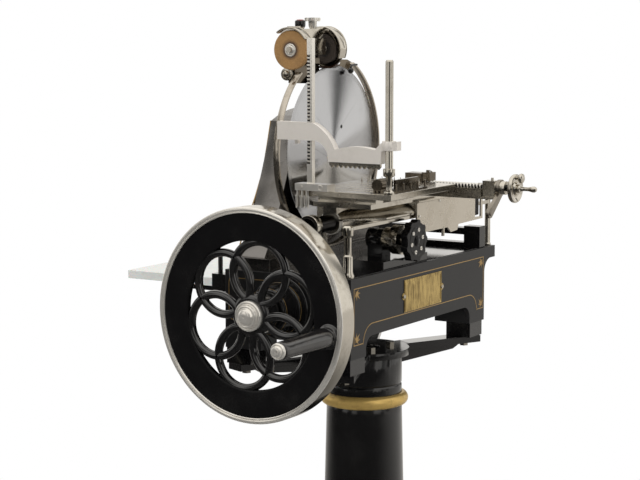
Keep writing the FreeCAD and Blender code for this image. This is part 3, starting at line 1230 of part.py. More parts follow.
def make_handwheel():
    plate = S.hand_plate
    rim = S.hand_radius
    wheel = turned([
        (S.screw_radius, -6), (13, -6), (13, 0), (rim - 7, 1.5), (rim - 6, -1), (rim, -1), (rim, plate),
        (rim - 6, plate), (rim - 7, plate - 2.5), (13, plate), (13, plate + 4), (S.screw_radius, plate + 4),
    ], (HAND_X, S.screw_y, S.screw_level), "x")
    spindle = turned([
        (0, plate), (9, plate + 4), (9, plate + 9), (5, plate + 12), (4, plate + 26), (6, plate + 34),
        (6, plate + 42), (3, plate + S.hand_spindle + 2), (0, plate + S.hand_spindle + 2),
    ], (HAND_X, S.screw_y, S.screw_level), "x")
    knob = turned([(0, plate - 1), (4, plate - 1), (4, plate + 5), (10, plate + 9), (10, plate + 14),
                   (6, plate + 18), (0, plate + 18)],
                  (HAND_X, S.screw_y - 4, S.screw_level + rim - 8), "x")
    socket = rod((HAND_X - 7, S.screw_y, S.screw_level), "x", S.screw_radius, plate + 7)
    node(cut(join(wheel, spindle, knob), socket), "feed_handwheel")


def clamp_face():
    """Outline of the clamp bar: high arm behind the toothed post, valley, hump and the plain post's lug."""
    left, base = number(TABLE_LEFT) + 3.2, number(S.clamp_level)
    lug = number(PLAIN_X) - 14
    steps = [
        (left, base + 78), (left + 85, base + 77), ((left + 107, base + 64), (left + 137, base + 25)),
        ((left + 173, base + 32), (lug - 14, base + 28)), (lug, base + 42), (lug + 36, base + 46),
        (lug + 36, base + 28), (lug + 1, base + 26), ((lug + 0.5, base + 12), (lug - 1, base)),
        (left + 121, base), ((left + 113, base + 28), (left + 91, base + 41)), (left, base + 41),
    ]
    return face_of(steps, lambda across, up: VECTOR(across, 0, up))


def make_clamp():
    depth = number(S.bar_depth)
    plate = made(clamp_face().extrude(VECTOR(0, depth, 0)), (0, S.bar_front, 0))
    hole = rod((PLAIN_X, S.bar_front + S.bar_depth / 2, TABLE_UNDER), "z",
               S.plain_radius + S.run_clear, S.plain_top - TABLE_UNDER)
    hub = rod((PLAIN_X, S.bar_front + S.bar_depth / 2, S.clamp_level + 28), "z", S.plain_radius + 6, 18)
    trimmed = cut(join(plate, hub), post_hole(POST_X, S.post_clear), hole)
    back = S.bar_front + S.bar_depth
    latch = join(box((POST_X - 38, back - 1, S.clamp_level + 44), (46, 8, 12)),
                 box((POST_X - 44, back - 1, S.clamp_level + 32), (7, 11, 26)))
    node(join(trimmed, latch), "clamp_bar")
    start = number(TABLE_LEFT + S.comb_start)
    count = int(number(S.comb_count))
    step = (number(PLAIN_X - S.plain_radius - S.comb_clear) - start) / count
    top, high = number(S.clamp_level), number(S.comb_height)
    points = [VECTOR(start, 0, top), VECTOR(start, 0, top - high / 2)]
    for index in range(count):
        points.append(VECTOR(start + step * (index + 0.5), 0, top - high))
        points.append(VECTOR(start + step * (index + 1), 0, top - high / 2))
    points += [VECTOR(start + step * count, 0, top), points[0]]
    comb = Part.Face(Part.makePolygon(points)).extrude(VECTOR(0, number(S.comb_plate), 0))
    node(made(comb, (0, S.bar_front + S.bar_depth / 2 - S.comb_plate / 2, 0)), "clamp_comb")


# ---------------------------------------------------------------- dial, tray

def make_dial():
    y, level = S.dial_y, S.dial_level
    barrel_left = DIAL_X - S.barrel_back
    base = box((barrel_left + 12, y - S.base_width / 2, BED_TOP),
               (S.base_length, S.base_width, S.dial_base))
    riser = box((barrel_left + 4, y - 18, BED_TOP), (S.barrel_length - 4, 36, level - BED_TOP))
    barrel = rod((barrel_left, y, level), "x", S.dial_barrel, S.barrel_length)
    bore = rod((barrel_left - 1, y, level), "x", S.dial_spindle + S.run_clear, S.barrel_length + 2)
    node(cut(join(base, riser, barrel), bore), "dial_bracket")
    start = barrel_left - 6
    spindle = rod((start, y, level), "x", S.dial_spindle, DIAL_X - start)
    step_left = barrel_left + S.barrel_length + 0.3
    collar_left = DIAL_X - S.collar_back
    step = rod((step_left, y, level), "x", S.dial_collar - 6, collar_left - step_left + 1)
    collar = rod((collar_left, y, level), "x", S.dial_collar, S.collar_plate)
    neck = rod((collar_left + S.collar_plate, y, level), "x", 12, S.collar_back - S.collar_plate)
    node(join(spindle, step, collar, neck), "dial_spindle")
    disc = rod((DIAL_X, y, level), "x", S.dial_radius - 5, S.dial_plate)
    lobes, holes = [], []
    for index in range(9):
        angle = math.radians(40 * index)
        at = (y + (S.dial_radius - 8) * math.cos(angle), level + (S.dial_radius - 8) * math.sin(angle))
        lobes.append(rod((DIAL_X, *at), "x", 8, S.dial_plate))
    for index in range(6):
        angle = math.radians(60 * index + 15)
        at = (y + 24 * math.cos(angle), level + 24 * math.sin(angle))
        holes.append(rod((DIAL_X + S.dial_plate - 8, *at), "x", 5, 9))
    node(cut(join(disc, *lobes), *holes), "thickness_dial")


def make_tray():
    right = -BED_SIDE - S.tray_gap
    slab = box((-S.tray_left, S.tray_front, S.tray_level - S.tray_plate),
               (S.tray_left + right, S.tray_depth, S.tray_plate))
    node(slab, "slice_tray")
    under = S.tray_level - S.tray_plate
    reach = S.tray_left - BED_SIDE - S.tray_arm_inset
    arms = [box((-BED_SIDE - reach, y, under - S.tray_arm_height),
                (reach, S.tray_arm_width, S.tray_arm_height))
            for y in (S.tray_front + 12, S.tray_front + S.tray_depth - 80)]
    half = S.socket_side / 2
    front = S.socket_y - half
    plate = box((-BED_SIDE - 7, front, under - 46), (7, S.tray_front + S.tray_depth - 40 - front, 40))
    neck = box((-BED_SIDE - 7, front, under - 10), (7, S.socket_side, S.socket_height + 16))
    post_x = -BED_SIDE - S.socket_offset
    socket_low = under + 6
    socket = box((post_x - half, front, socket_low),
                 (S.socket_offset + half - 1, S.socket_side, S.socket_height))
    post = rod((post_x, S.socket_y, socket_low + S.socket_height - 1), "z", S.tray_post, S.tray_post_height)
    node(join(*arms, plate, neck, socket, post), "tray_arm")


# ---------------------------------------------------------------- build

def check_and_export():
    os.makedirs("parts", exist_ok=True)
    DOC.recompute()
    for item in DOC.Objects:
        if "Invalid" in item.State or "Error" in item.State:
            raise RuntimeError(f"{item.Name} ({item.Label}) failed: {item.State}")
    for item in NODES:
        shape = item.Shape
        if shape.isNull() or not shape.isValid() or not shape.Solids:
            raise RuntimeError(f"{item.Label} has no valid solid")
        shape.exportStep(f"parts/{item.Label}.step")
        corners = shape.BoundBox
        print(f"{item.Label:18s} solids {len(shape.Solids):2d}  volume {shape.Volume / 1000:9.1f} cm3  "
              f"x {corners.XMin:7.1f} {corners.XMax:7.1f}  y {corners.YMin:7.1f} {corners.YMax:7.1f}  "
              f"z {corners.ZMin:7.1f} {corners.ZMax:7.1f}")


def build():
    make_pedestal()
    make_collar_and_head()
    make_bracket()
    make_stand_bolts()
    make_bed()
    make_badge()
    make_housing_and_bushes()
    make_flywheel()
    make_shaft_and_nut()
    make_handle()
    make_gears()
    make_cross_shaft()
    make_chain()
    make_crank()
    make_connecting_rod()
    make_knife_column()
    make_knife()
    make_guard()
    make_sharpener_bridge()
    make_deflector()
    make_sharpener()
    make_star_knob()
    make_rails()
    make_carriage()
    make_side_cover()
    make_screw_blocks()
    make_table()
    make_posts_of_clamp()
    make_end_grip()
    make_screw()
    make_handwheel()
    make_clamp()
    make_dial()
    make_tray()
    check_and_export()


build()
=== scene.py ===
"""Looks of a hand crank meat slicer on its pedestal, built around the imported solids.

Lengths are in metres, in the frame of the solids: +Z up from the floor, +X from the knife
towards the feed handwheel, -Y towards the flywheel and the person who turns it. Shapes that are
drawn as lists of corners are in millimetres until scaled or turned sizes them.
"""

import logging
import math
from dataclasses import dataclass, field
from enum import Enum
from typing import Any, Callable, Iterable, Sequence

import bmesh
import bpy
from mathutils import Matrix, Vector


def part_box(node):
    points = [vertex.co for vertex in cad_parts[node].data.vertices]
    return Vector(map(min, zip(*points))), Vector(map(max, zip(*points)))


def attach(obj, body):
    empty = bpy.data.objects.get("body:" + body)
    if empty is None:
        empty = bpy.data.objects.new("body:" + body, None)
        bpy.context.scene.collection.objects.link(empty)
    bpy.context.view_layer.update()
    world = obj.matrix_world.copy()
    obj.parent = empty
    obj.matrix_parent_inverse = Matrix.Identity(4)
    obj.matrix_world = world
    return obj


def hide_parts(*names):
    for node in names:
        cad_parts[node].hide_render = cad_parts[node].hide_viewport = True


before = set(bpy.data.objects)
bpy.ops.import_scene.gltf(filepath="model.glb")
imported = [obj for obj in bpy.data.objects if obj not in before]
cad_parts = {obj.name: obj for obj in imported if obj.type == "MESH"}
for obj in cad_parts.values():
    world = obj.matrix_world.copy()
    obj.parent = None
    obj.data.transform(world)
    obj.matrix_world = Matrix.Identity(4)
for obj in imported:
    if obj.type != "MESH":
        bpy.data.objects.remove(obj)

LOG = logging.getLogger("slicer")
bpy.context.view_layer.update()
MM = 0.001

Point = Sequence[float]
Colour = tuple[float, float, float]
Place = tuple[float, float, float]
Spot = tuple[float, float]
Outline = Sequence[Spot]


# ------------------------------------------------------------------ node graphs


def operator(operation: str, swapped: bool = False) -> Callable[..., "Value"]:
    """Make a method of Value that adds one Math node.

    Args:
        operation: The Math node's operation.
        swapped: Whether the other value comes first.

    Returns:
        The method, which takes the other value if the operation has one.
    """

    def method(self: "Value", other: Any = 0.0) -> "Value":
        """Put this value and the other through the node."""
        pair = (other, self) if swapped else (self, other)
        return self.maths(operation, *pair)

    return method


class Value:
    """A number socket that takes part in arithmetic, each step adding one Math node."""

    def __init__(self, graph: "Graph", socket: bpy.types.NodeSocket) -> None:
        """Wrap a socket.

        Args:
            graph: The graph that the socket belongs to.
            socket: The output socket that carries the number.
        """
        self.graph = graph
        self.socket = socket

    def maths(self, operation: str, first: Any, second: Any = 0.0) -> "Value":
        """Add one Math node.

        Args:
            operation: The Math node's operation.
            first: Its first value.
            second: Its second value.

        Returns:
            The node's result.
        """
        node = self.graph.node("ShaderNodeMath", {"operation": operation}, {0: first, 1: second})
        return Value(self.graph, node.outputs[0])

    __add__ = __radd__ = operator("ADD")
    __sub__ = operator("SUBTRACT")
    __rsub__ = operator("SUBTRACT", swapped=True)
    __mul__ = __rmul__ = operator("MULTIPLY")
    __truediv__ = operator("DIVIDE")
    turn_to = operator("ARCTAN2")
    least = operator("MINIMUM")
    most = operator("MAXIMUM")
    wave = operator("SINE")
    size = operator("ABSOLUTE")

    def step(self, low: float, high: float) -> "Value":
        """Rise smoothly from 0 to 1.

        Args:
            low: Where the rise starts.
            high: Where it ends.

        Returns:
            The risen value, between 0 and 1.
        """
        node = self.graph.node(
            "ShaderNodeMapRange", {"interpolation_type": "SMOOTHSTEP"},
            {0: self, 1: low, 2: high, 3: 0.0, 4: 1.0})
        return Value(self.graph, node.outputs[0])


class Graph:
    """A node tree that is filled by calls to node."""

    def __init__(self, tree: bpy.types.NodeTree) -> None:
        """Start on a tree that is already empty."""
        self.tree = tree

    def node(self, kind: str, settings: dict[str, Any] | None = None,
             inputs: dict[Any, Any] | None = None) -> bpy.types.Node:
        """Add a node of any type.

        Args:
            kind: The node's type.
            settings: Its properties, set before its sockets.
            inputs: Socket name or number, and the value or link that it gets.

        Returns:
            The new node.
        """
        node = self.tree.nodes.new(kind)
        for name, setting in (settings or {}).items():
            setattr(node, name, setting)
        for key, value in (inputs or {}).items():
            self.feed(node.inputs[key], value)
        return node

    def split(self, where: Any) -> tuple[Value, Value, Value]:
        """The three numbers of a vector."""
        outputs = self.node("ShaderNodeSeparateXYZ", None, {0: where}).outputs
        return Value(self, outputs[0]), Value(self, outputs[1]), Value(self, outputs[2])

    def blend(self, share: Any, first: bpy.types.NodeSocket,
              second: bpy.types.NodeSocket) -> bpy.types.NodeSocket:
        """Mix two shaders, share being the second one's part."""
        return self.node("ShaderNodeMixShader", None, {0: share, 1: first, 2: second}).outputs[0]

    def feed(self, socket: bpy.types.NodeSocket, value: Any) -> None:
        """Give a socket a value, or link another socket to it.

        Args:
            socket: The socket to feed.
            value: A plain value, another socket or a Value; None leaves the socket as it is.
        """
        if isinstance(value, Value):
            value = value.socket
        if isinstance(value, bpy.types.NodeSocket):
            self.tree.links.new(value, socket)
        elif value is not None:
            socket.default_value = value


class Painter(Graph):
    """Builds one material around a Principled shader."""

    def __init__(self, name: str) -> None:
        """Make an empty material of that name."""
        self.material = bpy.data.materials.new(name)
        self.material.use_nodes = True
        super().__init__(self.material.node_tree)
        self.tree.nodes.clear()
        self.surface = self.node("ShaderNodeBsdfPrincipled")
        self.node("ShaderNodeOutputMaterial", None, {"Surface": self.surface.outputs[0]})
        self.coordinates = self.node("ShaderNodeTexCoord").outputs["Object"]

    def set(self, **values: Any) -> None:
        """Feed the shader's sockets, with underscores for the spaces in their names."""
        for name, value in values.items():
            if isinstance(value, tuple) and len(value) == 3:
                value = (*value, 1.0)
            title = name.replace("_", " ").title().replace("Ior", "IOR")
            self.feed(self.surface.inputs[title], value)

    def placed(self, centre: Point = (0, 0, 0), stretch: Point = (1, 1, 1)) -> Any:
        """Object coordinates, moved and stretched.

        Args:
            centre: The point that becomes 0.
            stretch: The factor along each axis.

        Returns:
            The coordinates' socket.
        """
        moved = self.node("ShaderNodeVectorMath", {"operation": "SUBTRACT"},
                          {0: self.coordinates, 1: tuple(centre)})
        return self.node("ShaderNodeVectorMath", {"operation": "MULTIPLY"},
                         {0: moved.outputs[0], 1: tuple(stretch)}).outputs[0]

    def noise(self, scale: float, detail: float = 3.0, roughness: float = 0.55,
              where: Any = None) -> Value:
        """A noise pattern.

        Args:
            scale: How many waves to a metre.
            detail: How many finer layers.
            roughness: How strong the finer layers are.
            where: The coordinates it reads.

        Returns:
            The pattern, about 0 to 1.
        """
        node = self.node("ShaderNodeTexNoise", None, {
            "Vector": where if where is not None else self.coordinates,
            "Scale": scale, "Detail": detail, "Roughness": roughness})
        return Value(self, node.outputs[0])

    def reach(self, centre: Point, across: Point) -> Value:
        """Distance from a line.

        Args:
            centre: A point on the line.
            across: 0 for the axis that the line follows, and 1 for the others.

        Returns:
            The distance.
        """
        where = self.placed(centre, across)
        node = self.node("ShaderNodeVectorMath", {"operation": "LENGTH"}, {0: where})
        return Value(self, node.outputs["Value"])

    def mix(self, factor: Any, first: Any, second: Any) -> Any:
        """Mix two colours.

        Args:
            factor: The second colour's share.
            first: A colour or a colour socket.
            second: Another one.

        Returns:
            The mixed colour's socket.
        """
        node = self.node("ShaderNodeMix", {"data_type": "RGBA"})
        colours = [(*c, 1.0) if isinstance(c, tuple) and len(c) == 3 else c for c in (first, second)]
        self.feed(node.inputs[0], factor)
        self.feed(node.inputs[6], colours[0])
        self.feed(node.inputs[7], colours[1])
        return node.outputs[2]

    def relief(self, height: Value, strength: float, distance: float) -> None:
        """Bend the surface's normal by a height pattern.

        Args:
            height: The pattern.
            strength: How much of it shows, from 0 to 1.
            distance: The height that 1 stands for.
        """
        bump = self.node("ShaderNodeBump", None,
                         {"Strength": strength, "Distance": distance, "Height": height})
        self.feed(self.surface.inputs["Normal"], bump.outputs[0])


class Recipe(Graph):
    """A geometry node tree with named sizes, cooked into a plain mesh."""

    def __init__(self, name: str) -> None:
        """Make an empty tree of that name."""
        super().__init__(bpy.data.node_groups.new(name, "GeometryNodeTree"))
        self.tree.interface.new_socket("Geometry", in_out="OUTPUT", socket_type="NodeSocketGeometry")
        self.entry = self.tree.nodes.new("NodeGroupInput")
        self.exit = self.tree.nodes.new("NodeGroupOutput")
        self.values: dict[str, Any] = {}

    def ask(self, name: str, value: float | int) -> Value:
        """Add a named input.

        Args:
            name: The input's name.
            value: The value that this recipe is cooked with.

        Returns:
            The input as a value.
        """
        kind = "NodeSocketInt" if isinstance(value, int) else "NodeSocketFloat"
        item = self.tree.interface.new_socket(name, in_out="INPUT", socket_type=kind)
        self.values[item.identifier] = value
        return Value(self, self.entry.outputs[name])

    def chain(self, kind: str, **inputs: Any) -> bpy.types.NodeSocket:
        """Add a geometry node.

        Args:
            kind: Its type, without "GeometryNode".
            inputs: Its sockets, with underscores for the spaces in their names.

        Returns:
            Its first output.
        """
        named = {name.replace("_", " "): value for name, value in inputs.items()}
        return self.node("GeometryNode" + kind, None, named).outputs[0]

    def cook(self, name: str, geometry: bpy.types.NodeSocket, finish: "Finish") -> bpy.types.Object:
        """Realize and dress the geometry, and turn it into a mesh object.

        Args:
            name: The new object's name.
            geometry: The last geometry socket.
            finish: The finish that it gets.

        Returns:
            A plain mesh object with no modifier.
        """
        real = self.chain("RealizeInstances", Geometry=geometry)
        dressed = self.chain("SetMaterial", Geometry=real, Material=finish.material())
        self.feed(self.exit.inputs[0], dressed)
        holder = mesh_object(name + "_recipe", [], [])
        modifier = holder.modifiers.new("Recipe", "NODES")
        modifier.node_group = self.tree
        for identifier, value in self.values.items():
            modifier[identifier] = value
        graph = bpy.context.evaluated_depsgraph_get()
        mesh = bpy.data.meshes.new_from_object(holder.evaluated_get(graph))
        holder.modifiers.remove(modifier)
        bpy.data.objects.remove(holder)
        mesh.name = name
        obj = bpy.data.objects.new(name, mesh)
        bpy.context.scene.collection.objects.link(obj)
        return obj


# ------------------------------------------------------------------ finishes

NICKEL: Colour = (0.66, 0.62, 0.545)
NICKEL_DULL: Colour = (0.25, 0.205, 0.145)


@dataclass(frozen=True)
class Finish:
    """A finish of the slicer; each kind paints its own material once."""

    name: str
    slot: str

    def material(self) -> bpy.types.Material:
        """The finish's material, made on first use."""
        title = self.name + "_finish"
        found = bpy.data.materials.get(title)
        if found is not None:
            return found
        painter = Painter(title)
        self.paint(painter)
        return painter.material

    def paint(self, painter: Painter) -> None:
        """Fill the painter's material."""
        raise NotImplementedError


@dataclass(frozen=True)
class Enamel(Finish):
    """Baked black enamel with a slight orange peel, thin dust and rubbed patches."""

    colour: Colour = (0.0045, 0.0043, 0.0045)
    worn: Colour = (0.020, 0.019, 0.018)
    roughness: float = 0.14
    peel: float = 0.035
    coat: float = 0.35
    shine: float = 0.5
    bend: float = 1.5

    def paint(self, painter: Painter) -> None:
        """Fill the painter's material."""
        cloud = painter.noise(9.0, 5.0, 0.6)
        speck = painter.noise(420.0, 2.0, 0.5)
        dust = (cloud * 0.75 + speck * 0.35).step(0.52, 0.86)
        painter.set(
            base_color=painter.mix(dust * 0.55, self.colour, self.worn),
            roughness=cloud * 0.10 + dust * 0.08 + (self.roughness - 0.05),
            coat_weight=self.coat, coat_roughness=0.07, ior=self.bend,
            specular_ior_level=self.shine)
        painter.relief(painter.noise(210.0, 2.0, 0.4) + cloud * 0.6, self.peel, 0.0006)


@dataclass(frozen=True)
class Plate(Finish):
    """Nickel plate: warm, softly smudged, with hairline scratches and small dark pits."""

    colour: Colour = NICKEL
    tarnish: Colour = NICKEL_DULL
    roughness: float = 0.12
    age: float = 0.5
    bare: float = 1.0
    ripple: float = 0.055

    def paint(self, painter: Painter) -> None:
        """Fill the painter's material."""
        smudge = painter.noise(14.0, 5.0, 0.62)
        fine = painter.noise(95.0, 4.0, 0.6)
        long = painter.noise(1.0, 3.0, 0.7, painter.placed(stretch=(260, 1600, 1600)))
        pits = painter.noise(900.0, 1.0, 0.5).step(0.70, 0.78)
        stain = (smudge * 0.7 + fine * 0.4).step(0.50, 0.80) * self.age
        mark = (stain * 0.85 + pits * 0.5).least(1.0)
        painter.set(
            base_color=painter.mix(mark, self.colour, self.tarnish),
            metallic=self.bare,
            roughness=smudge * 0.12 + stain * 0.14 + long * 0.05 + (self.roughness - 0.08))
        painter.relief(long * 0.35 + fine * 0.5 + smudge * 1.5 - pits * 0.5, self.ripple, 0.0005)


@dataclass(frozen=True)
class Ground(Finish):
    """Steel ground in circles round an axis along X, as on the knife."""

    centre: Place = (0.0, 0.0, 0.0)
    colour: Colour = (0.52, 0.525, 0.54)
    stained: Colour = (0.42, 0.42, 0.43)
    edge_radius: float = 0.172
    dish: float = -0.17

    def paint(self, painter: Painter) -> None:
        """Fill the painter's material."""
        radius = painter.reach(self.centre, (0, 1, 1))
        rings = (radius * 5200.0 + painter.noise(3.0) * 14.0).wave()
        coarse = (radius * 1500.0 + painter.noise(6.0) * 9.0).wave()
        cloud = painter.noise(7.0, 4.0, 0.6)
        edge = radius.step(self.edge_radius, self.edge_radius + 0.002)
        painter.set(
            base_color=painter.mix(cloud.step(0.45, 0.75) * 0.5, self.colour, self.stained),
            metallic=1.0,
            roughness=cloud * 0.10 + rings * 0.012 + edge * 0.10 + 0.06)
        grooves = rings * 0.00001 + coarse * 0.00001
        painter.relief(radius * self.dish + grooves + cloud * 0.0001, 1.0, 1.0)


@dataclass(frozen=True)
class Machined(Finish):
    """Bare machined steel, oiled, with crossing tool marks."""

    colour: Colour = (0.40, 0.395, 0.385)
    oiled: Colour = (0.20, 0.17, 0.13)
    roughness: float = 0.28

    def paint(self, painter: Painter) -> None:
        """Fill the painter's material."""
        film = painter.noise(22.0, 4.0, 0.6)
        marks = painter.noise(1.0, 2.0, 0.5, painter.placed(stretch=(1800, 240, 1800)))
        painter.set(
            base_color=painter.mix(film.step(0.42, 0.72) * 0.7, self.colour, self.oiled),
            metallic=1.0, roughness=film * 0.2 + marks * 0.08 + (self.roughness - 0.12))
        painter.relief(marks + film * 0.4, 0.08, 0.0004)


@dataclass(frozen=True)
class Cast(Finish):
    """Rough cast iron with a sandy skin."""

    colour: Colour = (0.075, 0.073, 0.072)
    rust: Colour = (0.13, 0.075, 0.045)

    def paint(self, painter: Painter) -> None:
        """Fill the painter's material."""
        sand = painter.noise(650.0, 4.0, 0.7)
        patch = painter.noise(17.0, 5.0, 0.65)
        painter.set(
            base_color=painter.mix(patch.step(0.5, 0.76) * 0.6, self.colour, self.rust),
            metallic=0.55, roughness=patch * 0.2 + sand * 0.1 + 0.38)
        painter.relief(sand, 0.35, 0.0006)


@dataclass(frozen=True)
class Gilt(Finish):
    """Gold bronze paint with fine flake and rubbed places."""

    colour: Colour = (0.62, 0.42, 0.13)
    dark: Colour = (0.30, 0.17, 0.05)
    roughness: float = 0.30

    def paint(self, painter: Painter) -> None:
        """Fill the painter's material."""
        flake = painter.noise(1500.0, 1.0, 0.5)
        patch = painter.noise(26.0, 5.0, 0.65)
        painter.set(
            base_color=painter.mix(patch.step(0.48, 0.78) * 0.75, self.colour, self.dark),
            metallic=0.55, roughness=patch * 0.16 + flake * 0.10 + (self.roughness - 0.13))
        painter.relief(flake * 0.4 + patch, 0.07, 0.0005)


@dataclass(frozen=True)
class Brass(Finish):
    """Polished brass with a dark patina in its hollows and fine upright scratches."""

    colour: Colour = (0.68, 0.50, 0.19)
    patina: Colour = (0.22, 0.15, 0.055)

    def paint(self, painter: Painter) -> None:
        """Fill the painter's material."""
        patch = painter.noise(30.0, 5.0, 0.7)
        upright = painter.noise(1.0, 3.0, 0.6, painter.placed(stretch=(300, 420, 26)))
        age = (patch * 0.45 + upright * 0.65).step(0.46, 0.68)
        painter.set(
            base_color=painter.mix(age * 0.85, self.colour, self.patina),
            metallic=1.0, roughness=age * 0.22 + patch * 0.1 + 0.15)
        painter.relief(upright * 0.6 + patch * 0.4, 0.10, 0.0004)


@dataclass(frozen=True)
class Lacquer(Finish):
    """Turned hardwood under black lacquer, its grain just showing."""

    colour: Colour = (0.010, 0.009, 0.009)
    bare: Colour = (0.038, 0.026, 0.020)

    def paint(self, painter: Painter) -> None:
        """Fill the painter's material."""
        grain = painter.noise(1.0, 4.0, 0.6, painter.placed(stretch=(520, 30, 520)))
        worn = painter.noise(35.0, 3.0, 0.5).step(0.5, 0.75)
        painter.set(
            base_color=painter.mix(grain * 0.5 * worn, self.colour, self.bare),
            roughness=grain * 0.10 + worn * 0.08 + 0.11, coat_weight=0.7, coat_roughness=0.06)
        painter.relief(grain, 0.06, 0.0004)


@dataclass(frozen=True)
class Marble(Finish):
    """Polished white stone with faint cool veins."""

    colour: Colour = (0.56, 0.585, 0.56)
    vein: Colour = (0.38, 0.42, 0.40)

    def paint(self, painter: Painter) -> None:
        """Fill the painter's material."""
        drift = painter.noise(5.0, 5.0, 0.6)
        veins = (1.0 - ((painter.noise(7.0, 6.0, 0.65) - 0.5).size() * 22.0).least(1.0)) * drift
        painter.set(
            base_color=painter.mix(veins * 0.6, self.colour, self.vein),
            roughness=drift * 0.10 + 0.06, subsurface_weight=0.12, coat_weight=0.3)
        painter.relief(drift, 0.02, 0.0005)


@dataclass(frozen=True)
class Abrasive(Finish):
    """A bonded grinding wheel: grains in a dull body, darker near its middle."""

    colour: Colour = (0.235, 0.125, 0.042)
    grain: Colour = (0.34, 0.20, 0.078)
    stain: Colour = (0.050, 0.030, 0.022)
    centre: Place = (0.0, 0.0, 0.0)
    stained_from: float = 0.016
    stained_to: float = 0.025

    def paint(self, painter: Painter) -> None:
        """Fill the painter's material."""
        grit = painter.noise(1400.0, 2.0, 0.6)
        patch = painter.noise(40.0, 4.0, 0.6)
        body = painter.mix(grit.step(0.42, 0.66), self.colour, self.grain)
        radius = painter.reach(self.centre, (1, 0, 1)) + patch * 0.004
        middle = 1.0 - radius.step(self.stained_from, self.stained_to)
        soiled = (middle * 0.9 + patch.step(0.5, 0.8) * 0.25).least(1.0)
        painter.set(base_color=painter.mix(soiled, body, self.stain), roughness=grit * 0.15 + 0.72)
        painter.relief(grit + patch * 0.5, 0.5, 0.0007)


ENAMEL = Enamel("black_enamel", "black_enamel")
WHEEL_ENAMEL = Enamel("wheel_enamel", "black_enamel", roughness=0.09, peel=0.03, coat=0.9, shine=0.6)
DISC_ENAMEL = Enamel("disc_enamel", "black_enamel", roughness=0.24, peel=0.03, coat=0.0, shine=0.10)
DIAL_ENAMEL = Enamel("dial_enamel", "black_enamel", roughness=0.16, peel=0.05, coat=0.0, shine=0.24)
DECK_ENAMEL = Enamel(
    "deck_enamel", "black_enamel", roughness=0.08, peel=0.03, coat=0.6, shine=1.0, bend=2.3)
BED_ENAMEL = Enamel(
    "bed_enamel", "black_enamel", colour=(0.017, 0.0165, 0.0165), worn=(0.030, 0.029, 0.028),
    roughness=0.36, peel=0.05, coat=0.0, shine=0.28)
BROWN = Enamel(
    "brown_block", "black_enamel", colour=(0.035, 0.016, 0.009), worn=(0.06, 0.032, 0.018),
    roughness=0.4, coat=0.0, shine=0.3)
RED = Enamel("red_cap", "black_enamel", colour=(0.22, 0.02, 0.012), worn=(0.25, 0.05, 0.03))
PLATE = Plate("bright_nickel", "nickel")
# Pale, partly diffuse nickel: its light colour paints a sheen that stays bright whatever the metal
# reflects.
POLISHED_PAINTED_SHEEN = Plate("polished_nickel_painted_sheen", "nickel", colour=(0.80, 0.765, 0.70), age=0.3, bare=0.72)
CASTING = Plate("cast_nickel", "nickel_plate", roughness=0.20, age=0.8, ripple=0.09)
COLUMN = Plate(
    "column_nickel", "nickel_plate", colour=(0.22, 0.21, 0.20), tarnish=(0.12, 0.11, 0.095),
    roughness=0.26, age=0.7)
GUARD = Plate("guard_nickel", "nickel", colour=(0.56, 0.51, 0.44), roughness=0.2, age=0.7)
DULL = Plate(
    "dull_nickel", "nickel_plate", colour=(0.34, 0.31, 0.265), tarnish=(0.16, 0.14, 0.11),
    roughness=0.30, age=0.8)
BAR = Plate(
    "bar_nickel", "nickel_plate", colour=(0.70, 0.655, 0.60), tarnish=(0.50, 0.46, 0.40),
    roughness=0.38, age=0.35, bare=0.40)
COVER = Plate(
    "cover_nickel", "nickel_plate", colour=(0.60, 0.545, 0.455), tarnish=(0.40, 0.34, 0.26),
    roughness=0.24, bare=0.7)
# Darkened nickel; on the hood drum its dark colour is painted shade and dark reflection inside the hood.
DARK_NICKEL = Plate(
    "dark_nickel", "nickel", colour=(0.17, 0.145, 0.112), tarnish=(0.05, 0.040, 0.029),
    roughness=0.16, age=0.9, ripple=0.12)
STEEL = Machined("machined_steel", "steel")
BLUED = Machined(
    "blackened_steel", "blued_steel", colour=(0.045, 0.044, 0.044), oiled=(0.025, 0.022, 0.020),
    roughness=0.2)
BRONZE = Brass("bush_bronze", "bronze", colour=(0.50, 0.33, 0.15), patina=(0.2, 0.12, 0.05))
BRASS = Brass("plate_brass", "brass")
IRON = Cast("cast_iron", "cast_iron")
GILT = Gilt("gold_bronze", "gold_paint")
STRIPE = Gilt(
    "gold_line", "gold_paint", colour=(0.40, 0.26, 0.10), dark=(0.20, 0.125, 0.05), roughness=0.42)
LACQUER = Lacquer("black_lacquer", "ebonised_wood")
MARBLE = Marble("white_marble", "white_glass")
KNIFE = Ground("knife_steel", "knife_steel", centre=(-0.066, -0.025, 1.194))


# ------------------------------------------------------------------ shapes

SHARP_FROM = 32.0
PAINT_THICK = 0.25 * MM
SHARPEST_BEND = 0.4
SLOT_SHARE = 0.16


class Axis(Enum):
    """Directions that a turned piece can lie in: its own along, and two across."""

    X = ((1, 0, 0), (0, 1, 0), (0, 0, 1))
    Y = ((0, 1, 0), (0, 0, 1), (1, 0, 0))
    FRONT = ((0, -1, 0), (1, 0, 0), (0, 0, 1))
    Z = ((0, 0, 1), (1, 0, 0), (0, 1, 0))


@dataclass(frozen=True)
class Seat:
    """A place and the direction that a piece stands in there."""

    at: Place
    axis: Axis = Axis.Z

    def point(self, along: float, first: float, second: float) -> Vector:
        """A point from distances along and across the axis."""
        ways = [Vector(way) for way in self.axis.value]
        return Vector(self.at) + ways[0] * along + ways[1] * first + ways[2] * second

    def ring(self, along: float, radius: float, angle: float) -> Vector:
        """A point on a circle round the axis."""
        return self.point(along, radius * math.cos(angle), radius * math.sin(angle))


